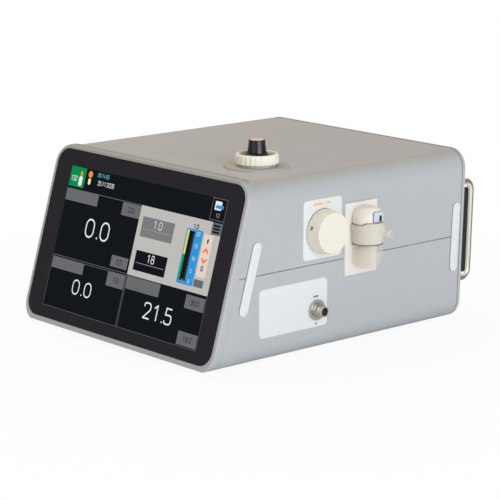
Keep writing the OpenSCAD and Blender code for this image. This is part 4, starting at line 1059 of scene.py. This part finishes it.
# strokes of the display's plain digits, on a field 0.56 wide and 1 high
# a line has corners of (a, b, rounding), a ring two corners and its rounding
glyphs = {
    "0": [("ring", (0, 0), (0.56, 1), 0.27)],
    "1": [("line", (0.08, 0.78), (0.34, 1.0, 0.03), (0.34, 0.0))],
    "2": [("line", (0, 0.74), (0, 1, 0.27), (0.56, 1, 0.27), (0.56, 0.6, 0.12), (0, 0, 0.02), (0.56, 0))],
    "3": [("line", (0, 0.8), (0, 1, 0.25), (0.54, 1, 0.25), (0.54, 0.53, 0.2), (0.2, 0.53)),
          ("line", (0.2, 0.53), (0.56, 0.53, 0.22), (0.56, 0, 0.25), (0, 0, 0.25), (0, 0.2))],
    "4": [("line", (0.34, 1), (0, 0.28), (0.58, 0.28)), ("line", (0.42, 0.5), (0.42, 0))],
    "5": [("line", (0.52, 1), (0.05, 1), (0.03, 0.58), (0.56, 0.6, 0.24), (0.56, 0, 0.26), (0, 0, 0.25),
           (0, 0.2))],
    "6": [("line", (0.54, 0.8), (0.54, 1, 0.25), (0, 1, 0.26), (0, 0, 0.26), (0.56, 0, 0.26),
           (0.56, 0.58, 0.24), (0.02, 0.58))],
    "8": [("ring", (0, 0), (0.56, 0.53), 0.23), ("ring", (0.03, 0.53), (0.53, 1), 0.21)],
    ".": [("line", (0.0, 0.0), (0.0, 0.09))],
    ":": [("line", (0.0, 0.2), (0.0, 0.3)), ("line", (0.0, 0.66), (0.0, 0.76))],
}
digitSet = {"step": 0.82, "gap": 0.26, "dots": {".": 0.26, ":": 0.3}, "dotShift": 0.06, "dotThick": 1.15}
ink = {}


def area(colour, points, layer):
    ink.setdefault(colour, []).append((points, layer))


def panel(colour, u0, v0, u1, v1, layer, r=0.0):
    if r > 0:
        points = [(a + (u0 + u1)/2, b + (v0 + v1)/2) for a, b in roundedLoop(u1 - u0, v1 - v0, r, 5)]
    else:
        points = [(u0, v0), (u1, v0), (u1, v1), (u0, v1)]
    area(colour, points, layer)


def stroke(colour, path, width, layer, closed=False):
    pts = [Vector(p) for p in path]
    count = len(pts)
    left, right = [], []
    for i, p in enumerate(pts):
        before = pts[i - 1] if (closed or i) else p
        after = pts[(i + 1) % count] if (closed or i < count - 1) else p
        a = (p - before).normalized() if (p - before).length else (after - p).normalized()
        b = (after - p).normalized() if (after - p).length else a
        way = (a + b).normalized() if (a + b).length > 1e-6 else a
        side = Vector((-way.y, way.x))
        reach = width/2/max(0.5, side.dot(Vector((-a.y, a.x))))
        left.append(p + side*reach)
        right.append(p - side*reach)
    for i in range(count if closed else count - 1):
        j = (i + 1) % count
        area(colour, [tuple(right[i]), tuple(right[j]), tuple(left[j]), tuple(left[i])], layer)


def number(colour, text, u, v, high, thick, layer, widen=1.0):  # u, v is the middle
    s = digitSet
    steps = [s["dots"].get(c, s["step"]) for c in text]
    x = -(sum(steps) - s["gap"])/2*high*widen
    for c, step in zip(text, steps):
        dot = c in s["dots"]
        shift = s["dotShift"] if dot else 0.0
        for kind, *path in glyphs[c]:
            if kind == "ring":
                (a0, b0), (a1, b1), r = path
                pts = roundedLoop((a1 - a0)*high*widen, (b1 - b0)*high, r*high*widen, 5)
                midU, midV = u + x + (a0 + a1)/2*high*widen, v - high/2 + (b0 + b1)/2*high
                stroke(colour, [(midU + a, midV + b) for a, b in pts], thick, layer, True)
            else:
                line = [(u + x + (a + shift)*high*widen, v - high/2 + b*high) for a, b in soften(path)]
                stroke(colour, line, thick*(s["dotThick"] if dot else 1), layer)
        x += step*high*widen


# what the display shows, in mm across and up the front face
# an area is (colour, left, foot, right, top, layer, corner)
# a number is (colour, digits, its middle, its height, thickness of its lines, layer, widening)
screen = {
    "headLine": [
        ("night", -107.3, 17.2, 109.7, 147.3, 0), ("green", -107.0, 128.8, -85.0, 147.0, 1),
        ("white", "132", -100.8, 136.4, 4.2, 0.55, 2, 0.9), ("white", -93.6, 130.2, -88.6, 139.2, 2, 1.8),
        ("amber", -92.4, 139.2, -89.8, 143.6, 2, 1.0), ("amber", -81.2, 139.6, -75.2, 145.6, 1, 2.9),
        ("cream", -80.0, 133.2, -76.4, 139.0, 1, 1.5), ("teal", "00:14:05", -59.5, 143.6, 3.4, 0.45, 1, 0.9),
        ("white", "25.11.2026", -54.0, 136.6, 3.8, 0.45, 1, 0.9), ("line", -107.0, 126.0, 0.5, 126.6, 2),
        ("slate", 91.0, 128.0, 110.0, 147.3, 1), ("night", 91.7, 128.7, 109.3, 146.6, 2),
        ("white", 95.0, 137.0, 103.4, 144.6, 3, 0.8), ("blue", 96.4, 138.4, 106.0, 141.4, 4, 0.6),
        ("dim", "12", 100.6, 132.6, 3.2, 0.42, 3)],
    "upperLeft": [
        ("tile", -107.3, 115.6, -60.2, 126.7, 1), ("tile", -24.8, 113.8, 0.6, 125.5, 1),
        ("night", "2.0", -12.0, 119.6, 4.5, 0.6, 2), ("tile", -24.7, 67.5, -1.4, 77.7, 1),
        ("night", "0.0", -13.0, 72.6, 4.5, 0.6, 2), ("white", "0.0", -52.4, 95.3, 16.0, 1.45, 1, 1.25),
        ("line", -107.0, 64.3, 1.8, 64.9, 1), ("line", -107.0, 62.6, 1.8, 63.1, 2)],
    "upperRight": [
        ("pale", 1.0, 64.5, 97.3, 126.6, 1), ("pale", 97.3, 64.5, 109.4, 116.0, 1),
        ("tile", 96.8, 116.1, 109.4, 126.4, 2), ("night", 98.6, 117.6, 107.2, 119.3, 3),
        ("night", 98.6, 120.3, 107.2, 122.0, 3), ("night", 98.6, 123.0, 107.2, 124.7, 3),
        ("box", 6.5, 99.8, 49.8, 117.5, 2), ("ice", "1.0", 28.0, 112.2, 6.8, 0.75, 3),
        ("dim", 9.0, 106.4, 47.4, 106.8, 3), ("night", 6.8, 69.8, 49.8, 87.5, 2),
        ("white", "18", 28.0, 82.2, 6.8, 0.75, 3), ("dim", 9.0, 76.4, 47.4, 76.8, 3),
        ("night", "1.0", 77.2, 119.4, 3.8, 0.85, 3), ("blue", 66.4, 69.2, 88.0, 117.0, 2, 2.0),
        ("lime", 67.9, 72.0, 70.1, 94.5, 3), ("yellow", 67.9, 94.5, 70.1, 115.4, 3),
        ("night", 70.1, 72.0, 77.4, 115.0, 3), ("red", 72.5, 72.0, 75.0, 73.6, 4),
        ("ice", "20", 82.0, 113.6, 3.0, 0.45, 3), ("ice", "15", 82.0, 103.2, 3.0, 0.45, 3),
        ("ice", "10", 82.0, 92.4, 3.0, 0.45, 3), ("ice", "5", 82.0, 81.6, 3.0, 0.45, 3),
        ("ice", "0", 82.0, 72.4, 3.0, 0.45, 3), ("peach", 89.6, 78.6, 101.4, 115.0, 2, 1.4),
        ("night", "0", 95.4, 86.0, 4.0, 0.95, 3), ("tile", 88.8, 69.6, 101.0, 76.0, 2)],
    "lowerReadings": [
        ("tile", -106.3, 52.7, -60.2, 63.1, 1), ("tile", -25.0, 50.0, -0.3, 63.1, 1),
        ("night", "1.0", -13.0, 56.6, 4.5, 0.6, 2), ("white", "0.0", -56.6, 40.8, 12.6, 1.2, 1, 1.27),
        ("rule", -0.4, 17.6, 2.5, 63.6, 1), ("tile", 2.1, 52.2, 48.0, 63.7, 2),
        ("tile", 83.5, 50.0, 108.4, 61.8, 1), ("night", "30.0", 96.0, 55.9, 4.5, 0.6, 2),
        ("tile", 83.0, 18.6, 108.6, 30.2, 1),
        ("night", "18.0", 96.0, 24.4, 4.5, 0.6, 2), ("white", "21.5", 52.0, 38.7, 13.4, 1.3, 1, 1.12),
        ("line", -107.0, 17.3, 109.6, 17.7, 1), ("line", -107.3, 17.3, -106.9, 65.0, 1),
        ("line", 109.2, 17.3, 109.6, 147.2, 1)],
}
levelBar = {"ticks": 20, "tickStep": 2.0, "tick": ("line", 75.0, 74.6, 77.0, 75.0, 4)}
arrows = {"middle": 95.6, "half": 3.2, "spots": ((101.0, 1), (93.0, -1)), "tail": 1.6, "tip": 1.8,
          "line": 1.9, "layer": 3,
          "pointer": [(94.9, 107.4), (96.3, 107.4), (96.3, 109.6), (97.2, 109.6), (95.6, 111.9),
                      (94.0, 109.6), (94.9, 109.6)]}
inkTones = {
    "night": (14, 18, 22), "white": (232, 236, 236), "green": (0, 140, 72), "amber": (238, 148, 48),
    "teal": (86, 190, 196), "line": (96, 100, 102), "slate": (88, 94, 98), "blue": (52, 150, 214),
    "tile": (104, 106, 110), "pale": (190, 188, 184), "box": (124, 122, 122), "lime": (24, 150, 80),
    "yellow": (240, 226, 48), "red": (206, 60, 48), "peach": (228, 210, 198), "cream": (240, 226, 196),
    "dim": (160, 163, 166), "ice": (200, 220, 236), "orange": (246, 120, 40), "rule": (60, 63, 68),
}
inkSheet = {"lift": 0.03, "layer": 0.025}  # height above the glass


def drawScreen():
    for rows in screen.values():
        for row in rows:
            if isinstance(row[1], str):
                number(*row)
            else:
                panel(*row)
    colour, u0, v0, u1, v1, layer = levelBar["tick"]
    for k in range(levelBar["ticks"]):
        up = k*levelBar["tickStep"]
        panel(colour, u0, v0 + up, u1, v1 + up, layer)
    s = arrows
    bend = ((-1, -s["tail"]), (0, s["tip"]), (1, -s["tail"]))
    for v, way in s["spots"]:
        path = [(s["middle"] + a*s["half"], v + way*b) for a, b in bend]
        stroke("orange", path, s["line"], s["layer"])
    area("night", s["pointer"], s["layer"])


def makeScreen():
    for colour, sheets in ink.items():
        verts, faces = [], []
        for points, layer in sheets:
            faces.append(tuple(range(len(verts), len(verts) + len(points))))
            verts += [onFront(u, v, inkSheet["lift"] + inkSheet["layer"]*layer) for u, v in points]
        name = "screen" + colour.capitalize()
        mats[name] = makeGlow(name, inkTones[colour])
        mesh = toMesh(name, verts, faces, False)
        bm = bmesh.new()
        bm.from_mesh(mesh)
        bmesh.ops.reverse_faces(bm, faces=[f for f in bm.faces if f.normal.dot(frontOut) < 0])
        bm.to_mesh(mesh)
        bm.free()
        addPiece(name, mesh, name)


drawScreen()
makeScreen()
print("screen drawn:", sum(len(s) for s in ink.values()), "areas")

# pale floor that keeps the shadow, white behind; the floor whitens from near to far
room = {"half": 6.0, "floorTone": (246, 246, 246), "floorDrift": 0.985, "floorScale": 3,
        "whiten": (0.93, 1.0), "whitenAt": (0.15, 0.6), "fillTone": (1.0, 0.97, 0.94, 1), "fill": 0.3}
white = {"Color": (1, 1, 1, 1), "Strength": 1}


def makeFloor():
    s = room
    corners = [(sx*s["half"], sy*s["half"], 0) for sx, sy in ((-1, -1), (1, -1), (1, 1), (-1, 1))]
    mesh = toMesh("floor", corners, [(0, 1, 2, 3)], False)
    mat, tree, place = newMaterial("floorPale")
    tree.nodes.remove(tree.nodes["Principled BSDF"])
    tex = addNode(tree, "ShaderNodeTexNoise", {"Scale": s["floorScale"], "Vector": place})
    base = tone(*s["floorTone"])
    paint = mixColours(tree, tex.outputs["Fac"], shade(base, s["floorDrift"]), base)
    flat = addNode(tree, "ShaderNodeBsdfDiffuse", {"Color": paint})
    bright = addNode(tree, "ShaderNodeEmission", white)
    away = addNode(tree, "ShaderNodeVectorMath", {0: place}, operation="LENGTH")
    fade = addNode(tree, "ShaderNodeMapRange", {
        "Value": away.outputs["Value"], "From Min": s["whitenAt"][0], "From Max": s["whitenAt"][1],
        "To Min": s["whiten"][0], "To Max": s["whiten"][1]})
    path = addNode(tree, "ShaderNodeLightPath")
    part = addNode(tree, "ShaderNodeMath", {0: path.outputs["Is Camera Ray"], 1: fade.outputs["Result"]},
                   operation="MULTIPLY").outputs[0]
    both = addNode(tree, "ShaderNodeMixShader", {0: part, 1: flat.outputs[0], 2: bright.outputs[0]})
    tree.links.new(both.outputs[0], tree.nodes["Material Output"].inputs["Surface"])
    mesh.materials.append(mat)
    obj = toScene("floor", mesh)


def makeStudio():
    world = bpy.data.worlds.new("studio")
    scene.world = world
    world.use_nodes = True
    tree = world.node_tree
    tree.nodes.clear()
    path = addNode(tree, "ShaderNodeLightPath").outputs
    seen = addNode(tree, "ShaderNodeMath", {0: path["Is Camera Ray"], 1: path["Is Transmission Ray"]},
                   operation="MAXIMUM").outputs[0]
    fill = addNode(tree, "ShaderNodeBackground", {"Color": room["fillTone"], "Strength": room["fill"]})
    behind = addNode(tree, "ShaderNodeBackground", white)
    both = addNode(tree, "ShaderNodeMixShader", {0: seen, 1: fill.outputs[0], 2: behind.outputs[0]})
    addNode(tree, "ShaderNodeOutputWorld", {"Surface": both.outputs[0]})


makeFloor()
makeStudio()

# soft studio lights, aimed at the middle of the unit
lights = {
    "sideKey": {"at": (2720, -300, 640), "size": 2.2, "power": 58, "tint": (0.85, 0.925, 1.0)},
    "topSoft": {"at": (-1300, 300, 2250), "size": 2.6, "power": 40, "tint": (1.0, 0.82, 0.68)},
    "frontFill": {"at": (500, -2700, 350), "size": 2.2, "power": 9, "tint": (1.0, 0.99, 0.97)},
}
target = at(0, 150, 70)
for name, s in lights.items():
    lamp = bpy.data.lights.new(name, "AREA")
    lamp.shape = "DISK"
    lamp.size = s["size"]
    lamp.energy = s["power"]
    lamp.color = s["tint"]
    obj = toScene(name, lamp)
    obj.location = at(*s["at"])
    obj.rotation_euler = (target - obj.location).to_track_quat("-Z", "Y").to_euler()
scene.view_settings.view_transform = "Standard"
print("room lit")
